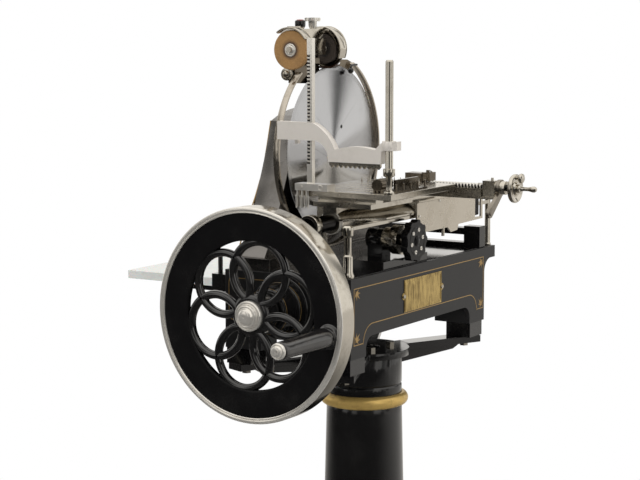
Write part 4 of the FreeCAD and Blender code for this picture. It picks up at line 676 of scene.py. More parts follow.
def mesh_object(name: str, points: Sequence[Point],
                faces: Sequence[Sequence[int]]) -> bpy.types.Object:
    """Make a mesh object at the origin.

    Args:
        name: Its name.
        points: Its corners.
        faces: Its faces, as lists of corner numbers.

    Returns:
        The object, linked to the scene.
    """
    mesh = bpy.data.meshes.new(name)
    mesh.from_pydata([tuple(point) for point in points], [], [tuple(face) for face in faces])
    mesh.update()
    obj = bpy.data.objects.new(name, mesh)
    bpy.context.scene.collection.objects.link(obj)
    return obj


def tidy_mesh(obj: bpy.types.Object, merge: float = 1e-6) -> bpy.types.Object:
    """Merge doubled corners and turn all faces outwards.

    Args:
        obj: The piece.
        merge: Corners nearer than this become one.

    Returns:
        The same piece.
    """
    work = bmesh.new()
    work.from_mesh(obj.data)
    bmesh.ops.remove_doubles(work, verts=work.verts, dist=merge)
    bmesh.ops.recalc_face_normals(work, faces=work.faces)
    work.to_mesh(obj.data)
    work.free()
    return obj


def shade(obj: bpy.types.Object, angle: float = 35.0) -> bpy.types.Object:
    """Shade a piece smoothly.

    Args:
        obj: The piece.
        angle: Edges sharper than this, in degrees, stay sharp.

    Returns:
        The same piece.
    """
    for polygon in obj.data.polygons:
        polygon.use_smooth = True
    obj.data.set_sharp_from_angle(angle=math.radians(angle))
    return obj


def soften(obj: bpy.types.Object, width: float) -> None:
    """Round the sharp edges with a Bevel modifier.

    Args:
        obj: The piece.
        width: The rounding's width.
    """
    bevel = obj.modifiers.new("Rounding", "BEVEL")
    bevel.width = width
    bevel.segments = 2
    bevel.limit_method = "ANGLE"
    bevel.angle_limit = math.radians(SHARP_FROM)
    bevel.harden_normals = True
    bevel.use_clamp_overlap = True


def skin(rows: int, sides: int, closed: bool) -> list[tuple[int, ...]]:
    """Join rows of points into a closed surface.

    Args:
        rows: How many rows there are.
        sides: How many points each row has.
        closed: Whether the last row meets the first; otherwise both ends get a flat face.

    Returns:
        The faces, as corner numbers.
    """
    faces: list[tuple[int, ...]] = []
    for row in range(rows if closed else rows - 1):
        here, there = row * sides, (row + 1) % rows * sides
        for side in range(sides):
            after = (side + 1) % sides
            faces.append((here + side, here + after, there + after, there + side))
    if not closed:
        faces += [tuple(range(sides)), tuple(range((rows - 1) * sides, rows * sides))]
    return faces


def scaled(shape: Iterable[Point], wide: float = MM, high: float = MM) -> list[Spot]:
    """Size a drawn outline: its first numbers by wide and its second by high."""
    return [(first * wide, second * high) for first, second in shape]


def oblong(left: float, right: float, low: float, high: float) -> list[Spot]:
    """The four corners of a rectangle."""
    return [(left, low), (right, low), (right, high), (left, high)]


def rounded(profile: Outline, radius: float, steps: int = 4) -> list[Spot]:
    """Round each corner of a closed outline.

    Args:
        profile: The outline's corners.
        radius: The most that a corner is cut back.
        steps: How many strips each rounding has.

    Returns:
        The rounded outline.
    """
    result = []
    count = len(profile)
    for index, corner in enumerate(profile):
        here = Vector(corner)
        before = Vector(profile[index - 1]) - here
        after = Vector(profile[(index + 1) % count]) - here
        cut = min(radius, before.length * 0.45, after.length * 0.45)
        start = here + before.normalized() * cut
        end = here + after.normalized() * cut
        for step in range(steps + 1):
            t = step / steps
            spot = start * (1 - t) ** 2 + here * 2 * t * (1 - t) + end * t ** 2
            result.append((spot.x, spot.y))
    return result


def lathe(name: str, profile: Outline, seat: Seat, steps: int = 96) -> bpy.types.Object:
    """Turn a closed profile round an axis.

    Args:
        name: The piece's name.
        profile: Radius and height of each corner.
        seat: Where the axis is.
        steps: How many segments the circle has.

    Returns:
        A closed mesh.
    """
    points = [seat.ring(along, radius, 2 * math.pi * step / steps)
              for step in range(steps) for radius, along in profile]
    faces = skin(steps, len(profile), True)
    return shade(tidy_mesh(mesh_object(name, points, faces)), 40)


def turned(name: str, shape: Outline, seat: Seat, steps: int, soft: float = 0.0, strips: int = 2,
           size: Spot = (MM, MM)) -> bpy.types.Object:
    """Turn a drawn profile round an axis, with its corners rounded.

    Args:
        name: The piece's name.
        shape: Radius and height of each corner, as drawn.
        seat: Where the axis is.
        steps: How many segments the circle has.
        soft: The most that a corner is cut back, or 0 for sharp corners.
        strips: How many strips each rounding has.
        size: The length that 1 stands for in a radius and in a height.

    Returns:
        A closed mesh.
    """
    profile = scaled(shape, *size)
    return lathe(name, rounded(profile, soft, strips) if soft else profile, seat, steps)


def slab(name: str, outline: Outline, thick: float,
         lift: Callable[[float, float, float], Point]) -> bpy.types.Object:
    """Make a plate from an outline.

    Args:
        name: The piece's name.
        outline: Its corners in the plate's own plane.
        thick: Its thickness.
        lift: Turns across, up and depth into a point.

    Returns:
        A closed mesh.
    """
    points = [lift(a, b, depth) for depth in (0.0, thick) for a, b in outline]
    return shade(tidy_mesh(mesh_object(name, points, skin(2, len(outline), False))))


def steps_along(path: Sequence[Point], closed: bool) -> Iterable[tuple[Vector, Vector, Vector]]:
    """Walk along a path.

    Args:
        path: Its points.
        closed: Whether it is a loop.

    Returns:
        Each point with the step to it and the step from it, which is 0 at an open end.
    """
    spots = [Vector(point) for point in path]
    last = len(spots) - 1
    for index, spot in enumerate(spots):
        behind = spots[index - 1] if closed or index > 0 else spot
        ahead = spots[(index + 1) % len(spots)] if closed or index < last else spot
        yield spot, spot - behind, ahead - spot


def tube(name: str, path: Sequence[Point], radius: float | Callable[[float], float],
         steps: int = 12, closed: bool = False) -> bpy.types.Object:
    """Sweep a circle along a path.

    Args:
        name: The piece's name.
        path: The points that it follows.
        radius: Its radius, or a function of the share of the path.
        steps: How many segments the circle has.
        closed: Whether the path is a loop.

    Returns:
        A closed mesh.
    """
    points: list[Vector] = []
    side: Vector | None = None
    for index, (spot, before, after) in enumerate(steps_along(path, closed)):
        way = (before + after).normalized()
        if side is None:
            side = way.orthogonal().normalized()
        side = (side - way * side.dot(way)).normalized()
        across = way.cross(side)
        wide = radius(index / max(len(path) - 1, 1)) if callable(radius) else radius
        for step in range(steps):
            angle = 2 * math.pi * step / steps
            points.append(spot + (side * math.cos(angle) + across * math.sin(angle)) * wide)
    return shade(tidy_mesh(mesh_object(name, points, skin(len(path), steps, closed))), 50)


def ribbon(name: str, path: Sequence[Point], up: Point, width: float) -> bpy.types.Object:
    """Lay a thin raised line of paint along a loop on a flat face.

    Args:
        name: The piece's name.
        path: The points of the loop.
        up: The face's outward direction.
        width: The line's width.

    Returns:
        A closed, very thin mesh.
    """
    normal = Vector(up).normalized()
    points: list[Vector] = []
    for spot, before, after in steps_along(path, True):
        way = (before.normalized() + after.normalized()).normalized()
        bend = max(way.dot(after.normalized()), SHARPEST_BEND)
        across = normal.cross(way).normalized() * (width / 2 / bend)
        raised = normal * PAINT_THICK
        points += [spot - across, spot + across, spot + across + raised, spot - across + raised]
    return tidy_mesh(mesh_object(name, points, skin(len(path), 4, True)), 1e-7)


def slotted(seat: Seat, radius: float, height: float, turn: float = 0.0) -> list[bpy.types.Object]:
    """Make a screw head with a slot across it.

    Args:
        seat: The middle of its underside, and the direction that it faces.
        radius: Its radius.
        height: Its height.
        turn: The slot's direction, in degrees.

    Returns:
        A washer-like foot and the head's two halves.
    """
    foot = rounded(scaled([(0.1, 0), (1, 0), (1, 0.55), (0.1, 0.6)], radius, height), height * 0.15, 2)
    parts = [lathe("foot", foot, seat, 32)]
    edge = math.degrees(math.asin(SLOT_SHARE))
    for start in (edge, 180.0 + edge):
        outline = arc((0.0, 0.0), radius * 0.93, turn + start, turn + start + 180.0 - 2 * edge, 14)
        parts.append(slab("half", outline, height * 0.5,
                          lambda a, b, depth: seat.point(height * 0.5 + depth, a, b)))
    return parts


def arc(centre: Spot, radius: float, start: float, end: float, steps: int = 12) -> list[Spot]:
    """Points of an arc in a plane, with angles in degrees."""
    angles = [math.radians(start + (end - start) * step / steps) for step in range(steps + 1)]
    return [(centre[0] + radius * math.cos(angle), centre[1] + radius * math.sin(angle))
            for angle in angles]


def merged(name: str, pieces: Sequence[bpy.types.Object]) -> bpy.types.Object:
    """Join several meshes into one.

    Args:
        name: The new object's name.
        pieces: The objects, which are removed.

    Returns:
        The new object.
    """
    work = bmesh.new()
    for piece in pieces:
        work.from_mesh(piece.data)
        bpy.data.objects.remove(piece)
    mesh = bpy.data.meshes.new(name)
    work.to_mesh(mesh)
    work.free()
    obj = bpy.data.objects.new(name, mesh)
    bpy.context.scene.collection.objects.link(obj)
    return obj


# ------------------------------------------------------------------ assemblies


def wears(**finishes: Finish) -> Any:
    """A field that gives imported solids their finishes, in that order."""
    return field(default_factory=lambda: dict(finishes))


@dataclass
class Assembly:
    """A sub-assembly that rides on one body of the slicer."""

    body: str = "stand_and_bed"
    dressed: dict[str, Finish] = wears()
    rounding: float = 0.9 * MM

    def add(self, piece: bpy.types.Object, finish: Finish, *stands_for: str, body: str = "") -> None:
        """Dress a new piece and let it ride.

        Args:
            piece: The piece, in its place.
            finish: Its finish.
            stands_for: The solids that it replaces.
            body: Another body than the assembly's own.
        """
        piece.data.materials.clear()
        piece.data.materials.append(finish.material())
        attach(piece, body or self.body)
        if stands_for:
            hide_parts(*stands_for)
        LOG.info("%s on %s", piece.name, body or self.body)

    def dress(self, node: str, finish: Finish, rounding: float | None = None) -> None:
        """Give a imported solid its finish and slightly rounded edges.

        Args:
            node: The solid's name.
            finish: Its finish.
            rounding: The edges' width, where it isn't the assembly's own.
        """
        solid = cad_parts[node]
        solid.data.materials.clear()
        solid.data.materials.append(finish.material())
        weld = solid.modifiers.new("Weld", "WELD")
        weld.merge_threshold = 1e-5
        soften(solid, self.rounding if rounding is None else rounding)
        LOG.info("%s dressed", node)

    def build(self) -> None:
        """Dress the solids and add the pieces."""
        for node, finish in self.dressed.items():
            self.dress(node, finish)


@dataclass
class Pedestal(Assembly):
    """The round foot, column, gold collar and four-armed bracket."""

    pad: float = 60 * MM
    arm_start: float = 104 * MM
    arm_end: float = 44 * MM
    arm_half: float = 21 * MM
    sheet: float = 0.5 * MM
    sunk: float = 0.15 * MM
    dressed: dict[str, Finish] = wears(
        pedestal_foot=ENAMEL, pedestal_column=ENAMEL, collar_ring=GILT, column_head=ENAMEL,
        stand_bracket=ENAMEL, foot_pads=ENAMEL, stand_bolts=PLATE)

    def build(self) -> None:
        """Dress the solids and add the glossy tops of the bracket's arms."""
        super().build()
        low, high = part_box("stand_bracket")
        half = self.pad / 2
        sheets = []
        for side in (-1, 1):
            for middle in (low.y + half, high.y - half):
                foot = Vector((side * (high.x - half), middle))
                way = foot.normalized()
                across = Vector((-way.y, way.x)) * self.arm_half
                inner, outer = way * self.arm_start, way * (foot.length - self.arm_end)
                ends = [inner + across, inner - across, outer - across, outer + across]
                sheets.append(slab("sheet", [(end.x, end.y) for end in ends], self.sheet,
                                   lambda a, b, depth: (a, b, high.z - self.sunk + depth)))
        self.add(merged("arm_tops", sheets), DECK_ENAMEL)


@dataclass
class Bed(Assembly):
    """The bed casting with its gold lines, name plate, shaft housing and rear frame."""

    side: float = 151.5 * MM
    front: float = -301.5 * MM
    back: float = 270 * MM
    top: float = 943.5 * MM
    foot: float = 828.5 * MM
    arch: float = 865 * MM
    front_toe: float = 37 * MM
    back_toe: float = 31 * MM
    toe_rise: float = 3 * MM
    bend: float = 38 * MM
    line: float = 1.7 * MM
    inset: float = 8 * MM
    rays: tuple[Spot, ...] = (
        (0, 20), (17, 13), (-17, 13), (36, 17), (-36, 17), (55, 9), (-55, 9), (74, 12), (-74, 12),
        (180, 5), (120, 4), (-120, 4))
    end_face: float = -314 * MM
    deck_level: float = 963.85 * MM
    deck_sheet: float = 0.5 * MM
    housing: Place = (-10 * MM, -314 * MM, 895 * MM)
    housing_lines: tuple[Spot, ...] = ((53.1, 13.0), (46.8, 56.0))
    ear: float = 84 * MM
    ear_radius: float = 7.5 * MM
    notch: float = 8 * MM
    dressed: dict[str, Finish] = wears(
        bed_casting=BED_ENAMEL, shaft_housing=ENAMEL, rear_frame=ENAMEL, front_rod_stand=CASTING,
        carriage_rod=BLUED, side_rail=PLATE, rail_posts=PLATE, shaft_bushes=BRONZE, dial_bracket=ENAMEL)

    def on_side(self, across: float, up: float, depth: float) -> Point:
        """A point on the bed's side, depth in front of it."""
        return self.side + depth, across, up

    def panel(self) -> list[Spot]:
        """Outline of the gold line on the bed's side, as Y and Z."""
        foot_front, foot_back = self.front + self.front_toe, self.back - self.back_toe
        toe, bend = self.foot + self.toe_rise, self.bend
        return [
            (self.front, self.top), (self.front, self.foot), (foot_front, self.foot), (foot_front, toe),
            *arc((foot_front + bend, self.arch - bend), bend, 180, 90),
            *arc((foot_back - bend, self.arch - bend), bend, 90, 0),
            (foot_back, toe), (foot_back, self.foot), (self.back, self.foot), (self.back, self.top)]

    def leaf(self, at: Spot, towards: float, size: float, lift: float) -> bpy.types.Object:
        """One pointed leaf of a corner ornament, flat on the bed's side.

        Args:
            at: Its root, as Y and Z.
            towards: Its direction, in degrees.
            size: Its length.
            lift: Its thickness.

        Returns:
            A closed mesh.
        """
        shape = [(0, 0), (0.35, 1), (0.7, 0.7), (1, 0), (0.7, -0.7), (0.35, -1)]
        turn = Matrix.Rotation(math.radians(towards), 2)
        corners = [turn @ Vector(corner) for corner in scaled(shape, size, size * 0.085)]
        return slab("leaf", [(at[0] + c.x, at[1] + c.y) for c in corners], lift, self.on_side)

    def sprig(self, at: Spot, turn: float) -> list[bpy.types.Object]:
        """A traditional corner spray: rays of several lengths from one point.

        Args:
            at: The point, as Y and Z.
            turn: The middle ray's direction, in degrees.

        Returns:
            The leaves and the bead at their root.
        """
        spray = [self.leaf(at, turn + spread, size * MM, (0.20 + 0.03 * index) * MM)
                 for index, (spread, size) in enumerate(self.rays)]
        return [*spray, slab("bead", arc(at, 1.3 * MM, 0, 330, 11), 0.7 * MM, self.on_side)]

    def gold_lines(self) -> bpy.types.Object:
        """The lines and corner sprays on the bed's side, and the line round its front end."""
        path = [self.on_side(across, up, 0.0) for across, up in self.panel()]
        parts = [ribbon("line", path, (1, 0, 0), self.line)]
        front, back = self.front + self.inset, self.back - self.inset
        high, low = self.top - self.inset, self.foot + self.inset
        for at, turn in (((front, high), -45), ((back, high), 225), ((front, low), 45), ((back, low), 135)):
            parts += self.sprig(at, turn)
        end = rounded(oblong(-142 * MM, 142 * MM, 860 * MM, self.top + 4 * MM), 10 * MM)
        path = [(x, self.end_face, z) for x, z in end]
        parts.append(ribbon("line", path, (0, -1, 0), self.line))
        return merged("bed_gold_lines", parts)

    def deck(self) -> bpy.types.Object:
        """The glossy top of the bed."""
        outline = rounded(oblong(-139 * MM, 143 * MM, -306 * MM, 262 * MM), 8 * MM, 3)
        return slab("bed_deck", outline, self.deck_sheet,
                    lambda a, b, depth: (a, b, self.deck_level + depth))

    def build(self) -> None:
        """Dress the solids and add the pieces."""
        super().build()
        self.add(self.gold_lines(), STRIPE)
        self.add(self.deck(), DECK_ENAMEL)
        self.add(self.brass_plate(), BRASS, "name_plate")
        self.add(merged("plate_screw_heads", self.plate_screws()), PLATE, "plate_screws")
        seat = Seat(self.housing, Axis.FRONT)
        rings = [turned("ring", oblong(radius, radius + 0.3, along, along + 1.2), seat, 96)
                 for radius, along in self.housing_lines]
        self.add(merged("housing_gold_lines", rings), STRIPE)

    def ears(self) -> tuple[Spot, Spot]:
        """Where the name plate's two screws sit, as Y and Z."""
        low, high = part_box("name_plate")
        middle, level = (low.y + high.y) / 2 - 1 * MM, (low.z + high.z) / 2
        return (middle - self.ear, level), (middle + self.ear, level)

    def brass_plate(self) -> bpy.types.Object:
        """The bare name plate: two screw ears, a raised border and a fine inner line."""
        low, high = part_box("name_plate")
        (front_ear, level), (back_ear, _) = self.ears()
        half = (high.z - low.z) / 2 - 0.3 * MM
        front, back = front_ear + 1.5 * MM, back_ear - 1.5 * MM
        outline = [
            (front, level - half), (back, level - half), (back, level - self.notch),
            *arc((back_ear, level), self.ear_radius, -60, 60, 10),
            (back, level + self.notch), (back, level + half), (front, level + half),
            (front, level + self.notch), *arc((front_ear, level), self.ear_radius, 120, 240, 10),
            (front, level - self.notch)]
        face = high.x - 0.8 * MM
        parts = [slab("sheet", outline, face - low.x, lambda a, b, depth: (low.x + depth, a, b))]
        for inset, radius in ((2.2 * MM, 0.75 * MM), (5.4 * MM, 0.4 * MM)):
            edge = oblong(front + inset, back - inset, level - half + inset, level + half - inset)
            path = [(face, y, z) for y, z in rounded(edge, 2.0 * MM, 3)]
            parts.append(tube("border", path, radius, 8, True))
        return merged("brass_name_plate", parts)

    def plate_screws(self) -> list[bpy.types.Object]:
        """The two slotted screws in the plate's ears."""
        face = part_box("name_plate")[1].x - 0.9 * MM
        return [part for turn, spot in zip((75.0, 100.0), self.ears())
                for part in slotted(Seat((face, *spot), Axis.X), 4.6 * MM, 2.2 * MM, turn)]


@dataclass
class Flywheel(Assembly):
    """The flywheel with its plated rim, cast flower, nut and crank handle."""

    body: str = "flywheel"
    centre: Place = (-10 * MM, -394 * MM, 895 * MM)
    radius: float = 217.5 * MM
    width: float = 48 * MM
    wall: float = 16 * MM
    lip: float = 12 * MM
    face: float = 44 * MM
    disc_thick: float = 14 * MM
    opening: float = 150 * MM
    loops: int = 6
    loop_radius: float = 62.5 * MM
    loop_offset: float = 88.3 * MM
    strand: float = 17.5 * MM
    first_loop: float = 78.0
    crank_radius: float = 187 * MM
    crank_angle: float = -7.6
    cap_gap: float = 0.4 * MM
    dressed: dict[str, Finish] = wears(drive_shaft=STEEL)

    def seat(self) -> Seat:
        """The wheel's axis, towards the person."""
        return Seat(self.centre, Axis.FRONT)

    def build(self) -> None:
        """Dress the solids and add the pieces."""
        super().build()
        self.dress("drive_pinions", STEEL, 0.3 * MM)
        self.add(self.rim(), PLATE)
        self.add(self.bead(), POLISHED_PAINTED_SHEEN)
        self.add(self.disc(), DISC_ENAMEL, "flywheel")
        self.add(self.flower(), WHEEL_ENAMEL)
        self.add(self.hub(), WHEEL_ENAMEL)
        self.add(self.nut(), POLISHED_PAINTED_SHEEN, "hub_nut")
        self.add(self.handle_end(), POLISHED_PAINTED_SHEEN, "handle_pin")
        self.add(self.grip(), LACQUER, "crank_grip", body="grip")

    def rim(self) -> bpy.types.Object:
        """The plated tyre of the wheel, behind its front bead."""
        r, w, inner = self.radius, self.width, self.radius - self.lip + 1 * MM
        return lathe("wheel_rim", [
            (r - 4.5 * MM, 0.4 * MM), (r - 1.5 * MM, 0), (r, 1.5 * MM), (r, w - 6 * MM),
            (r - 0.4 * MM, w - 4 * MM), (inner, w - 4 * MM), (inner, w - 5 * MM),
            (r - 4.5 * MM, w - 6 * MM)], self.seat(), 160)

    def bead(self) -> bpy.types.Object:
        """The rolled front edge of the tyre: a wide flattened bead and a fine one inside it."""
        r, w, lip = self.radius, self.width, self.lip
        outer, roll = 4.2 * MM, 3.6 * MM
        section = [(r - lip, w - 4.5 * MM), (r - 0.2 * MM, w - 4.5 * MM), (r, w - roll)]
        section += [(r - outer + outer * math.cos(t), w - roll + roll * math.sin(t))
                    for t in (math.radians(15 * step) for step in range(1, 6))]
        inside = [(5.6, 0), (8.2, 0.7), (8.7, 1.7), (9.2, 1.2), (10.6, 0.9)]
        section += [(r - a, w - b) for a, b in scaled(inside)]
        return lathe("wheel_bead", [*section, (r - lip, w - 2.2 * MM)], self.seat(), 160)

    def nut(self) -> bpy.types.Object:
        """The plated dome nut on the shaft, turned in rings."""
        low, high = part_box("hub_nut")
        at = ((low.x + high.x) / 2, high.y, (low.z + high.z) / 2)
        shape = [(0.02, 0.0), (1.0, 0.0), (1.0, 0.28), (0.93, 0.40), (0.86, 0.40), (0.83, 0.36),
                 (0.78, 0.40), (0.74, 0.62), (0.66, 0.70), (0.60, 0.66), (0.56, 0.70), (0.48, 0.88),
                 (0.36, 0.97), (0.2, 1.0), (0.02, 1.0)]
        size = ((high.x - low.x) / 2, high.y - low.y)
        return turned("dome_nut", shape, Seat(at, Axis.FRONT), 96, 1.2 * MM, 3, size)

    def handle_end(self) -> bpy.types.Object:
        """The crank pin with the ringed, slotted cap that holds the grip on."""
        low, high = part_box("handle_pin")
        grip_low, grip_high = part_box("crank_grip")
        x, z = (grip_low.x + grip_high.x) / 2, (grip_low.z + grip_high.z) / 2
        face = grip_low.y - self.cap_gap
        radius, end = (high.x - low.x) / 2, face - low.y
        pin = turned("pin", oblong(0.2, 7.6, 0, high.y - grip_low.y), Seat((x, high.y, z), Axis.FRONT),
                     40, 0.6 * MM, 2, (MM, 1.0))
        shape = [(0.02, 0.0), (1.0, 0.0), (1.0, 0.30), (0.90, 0.50), (0.80, 0.50), (0.76, 0.46),
                 (0.72, 0.52), (0.66, 0.78), (0.50, 0.86), (0.02, 0.86)]
        cap = turned("cap", shape, Seat((x, face, z), Axis.FRONT), 72, 0.9 * MM, 3, (radius, end))
        seat = Seat((x, face - 0.80 * end, z), Axis.FRONT)
        return merged("handle_cap", [pin, cap, *slotted(seat, radius * 0.42, 0.2 * end, 30.0)])

    def disc(self) -> bpy.types.Object:
        """The black ring inside the rim, with its rolled inner edge."""
        inner, outer = self.opening, self.radius - 5 * MM
        back, front, floor = self.face - self.disc_thick, self.face, 0.5 * MM
        return lathe("wheel_disc", rounded([
            (inner, back), (self.radius - self.wall, back), (self.radius - self.wall, floor),
            (outer, floor), (outer, front + 1.5 * MM), (outer - 3.8 * MM, front + 1.5 * MM),
            (outer - 5.2 * MM, front), (inner + 3 * MM, front), (inner, front - 2.5 * MM),
        ], 2.6 * MM), self.seat(), 160)

    def flower(self) -> bpy.types.Object:
        """Six cast rings set round the hub, which cross to make a flower."""
        recipe = Recipe("cast_flower")
        count = recipe.ask("Rings", self.loops)
        ring = recipe.ask("Ring radius", self.loop_radius)
        offset = recipe.ask("Offset", self.loop_offset)
        strand = recipe.ask("Strand", self.strand)
        turn = recipe.ask("First ring", math.radians(self.first_loop))
        depth = self.face - 2.5 * MM - self.strand / 2
        circle = recipe.chain("CurvePrimitiveCircle", Resolution=96, Radius=ring)
        section = recipe.chain("CurvePrimitiveCircle", Resolution=14, Radius=strand / 2.0)
        squeezed = recipe.chain("Transform", Geometry=section, Scale=(0.98, 1.05, 1.0))
        body = recipe.chain("CurveToMesh", Curve=circle, Profile_Curve=squeezed)
        centres = recipe.chain("MeshCircle", Vertices=count, Radius=offset)
        spread = recipe.chain("InstanceOnPoints", Points=centres, Instance=body)
        spin = recipe.node("ShaderNodeCombineXYZ", None, {2: turn}).outputs[0]
        spun = recipe.chain("Transform", Geometry=spread, Rotation=spin)
        place = (self.centre[0], self.centre[1] - depth, self.centre[2])
        stood = recipe.chain("Transform", Geometry=spun, Rotation=(math.radians(90), 0.0, 0.0),
                             Translation=place)
        return shade(tidy_mesh(recipe.cook("wheel_flower", stood, WHEEL_ENAMEL)), 60)

    def hub(self) -> bpy.types.Object:
        """The cast hub and the boss that holds the crank pin."""
        seat = self.seat()
        shape = [(14, -14), (36, -14), (40, -4), (43, 22), (43, 38), (37, 42), (14, 42)]
        hub = turned("hub", shape, seat, 96, 3 * MM, 4)
        at = seat.ring(self.face - 12 * MM, self.crank_radius, math.radians(self.crank_angle))
        shape = [(8.3, 0), (27, 0), (26, 12), (19, 15.5), (17.5, 21.6), (8.3, 21.6)]
        boss = turned("boss", shape, Seat(tuple(at), Axis.FRONT), 64, 2.5 * MM, 4)
        return merged("wheel_hub", [hub, boss])

    def grip(self) -> bpy.types.Object:
        """The turned grip, a long soft taper with a rounded shoulder."""
        low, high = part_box("crank_grip")
        at = ((low.x + high.x) / 2, high.y, (low.z + high.z) / 2)
        shape = [(8.1, 0.0), (15.0, 0.0), (19.0, 0.02), (20.4, 0.06), (20.4, 0.14), (19.6, 0.28),
                 (18.4, 0.45), (17.6, 0.65), (17.3, 0.82), (17.5, 0.94), (17.0, 0.985), (15.0, 1.0),
                 (8.1, 1.0)]
        return turned("turned_grip", shape, Seat(at, Axis.FRONT), 72, 4 * MM, 3, (MM, high.y - low.y))


@dataclass
class Gears(Assembly):
    """Shafts, gears, chain and connecting rod inside the bed."""

    rounding: float = 0.3 * MM
    dressed: dict[str, Finish] = wears(
        cross_shaft=STEEL, cross_gear=STEEL, drive_sprocket=STEEL, knife_sprocket=STEEL,
        drive_chain=STEEL, crank_shaft=STEEL, crank_gear=IRON, connecting_rod=STEEL)


@dataclass
class KnifeSide(Assembly):
    """The knife column, knife, guard ring and deflector."""

    column_edge: tuple[Spot, ...] = (
        (-139.5, 1262), (-153, 1215), (-170, 1160), (-198.5, 1108), (-228, 1062), (-262, 1005),
        (-281, 966.5))
    nut_at: Spot = (-88.5 * MM, 1363 * MM)
    nut_radius: float = 12.6 * MM
    nut_teeth: int = 36
    catch_at: Place = (-56 * MM, 33.6 * MM, 1364.6 * MM)
    catch_radius: float = 6.5 * MM
    hole_at: Place = (-66.2 * MM, 11 * MM, 1244 * MM)
    dressed: dict[str, Finish] = wears(
        knife_column=COLUMN, knife_guard=GUARD, sharpener_bridge=DARK_NICKEL, slice_deflector=PLATE,
        knife_shaft=PLATE)

    def build(self) -> None:
        """Dress the solids and add the pieces."""
        super().build()
        self.dress("knife_blade", KNIFE, 0.4 * MM)
        self.add(self.knurled_nut(), PLATE, "guard_knobs")
        self.add(self.catch(), ENAMEL)
        self.add(self.column_line(), STRIPE)
        # A thin dark disc on the knife's face: its dark colour is painted shade standing in for the hole.
        hole = turned("knife_hole", oblong(0.1, 4.2, 0, 0.35), Seat(self.hole_at, Axis.X), 32, 0.1 * MM)
        self.add(hole, BLUED, body="knife")

    def column_line(self) -> bpy.types.Object:
        """The gold line down the column's front edge, and along its foot."""
        low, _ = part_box("knife_column")
        path = [(low.x + 0.6 * MM, y, z) for y, z in scaled(self.column_edge)]
        return tube("column_gold_line", path, 1.5 * MM, 8)

    def knurled_nut(self) -> bpy.types.Object:
        """The nut below the grinding stone, knurled round its edge and stepped in front."""
        low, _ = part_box("guard_knobs")
        seat = Seat((self.nut_at[0], low.y + 12 * MM, self.nut_at[1]), Axis.FRONT)
        shape = [(2, 0), (12.2, 0), (12.6, 1.4), (12.6, 8.2), (11.6, 9.4), (8.6, 9.8), (8.0, 9.2),
                 (6.0, 11.0), (3.4, 12.0), (0.2, 12.0), (0.2, 4), (2, 3.5)]
        parts = [turned("nut", shape, seat, 64)]
        for tooth in range(self.nut_teeth):
            angle = 2 * math.pi * tooth / self.nut_teeth
            path = [seat.ring(along, self.nut_radius, angle) for along in (1.6 * MM, 8.0 * MM)]
            parts.append(tube("tooth", path, 0.8 * MM, 6))
        return merged("knurled_nut", parts)

    def catch(self) -> bpy.types.Object:
        """The black ball of the guard's catch on its short bent stem."""
        radius, at = self.catch_radius, Vector(self.catch_at)
        ball = [(max(0.05 * MM, radius * math.sin(t)), -radius * math.cos(t))
                for t in (math.pi * step / 14 for step in range(15))]
        stem = [at + Vector(step) * MM for step in (
            (-4, 26, 12), (0, 25, 12), (0, 18, 12), (0, 6, 11.6), (0, 1.5, 10), (0, 0, 6), (0, 0, 2))]
        return merged("catch_ball", [lathe("ball", ball, Seat(self.catch_at), 40),
                                     tube("stem", stem, 2.6 * MM)])


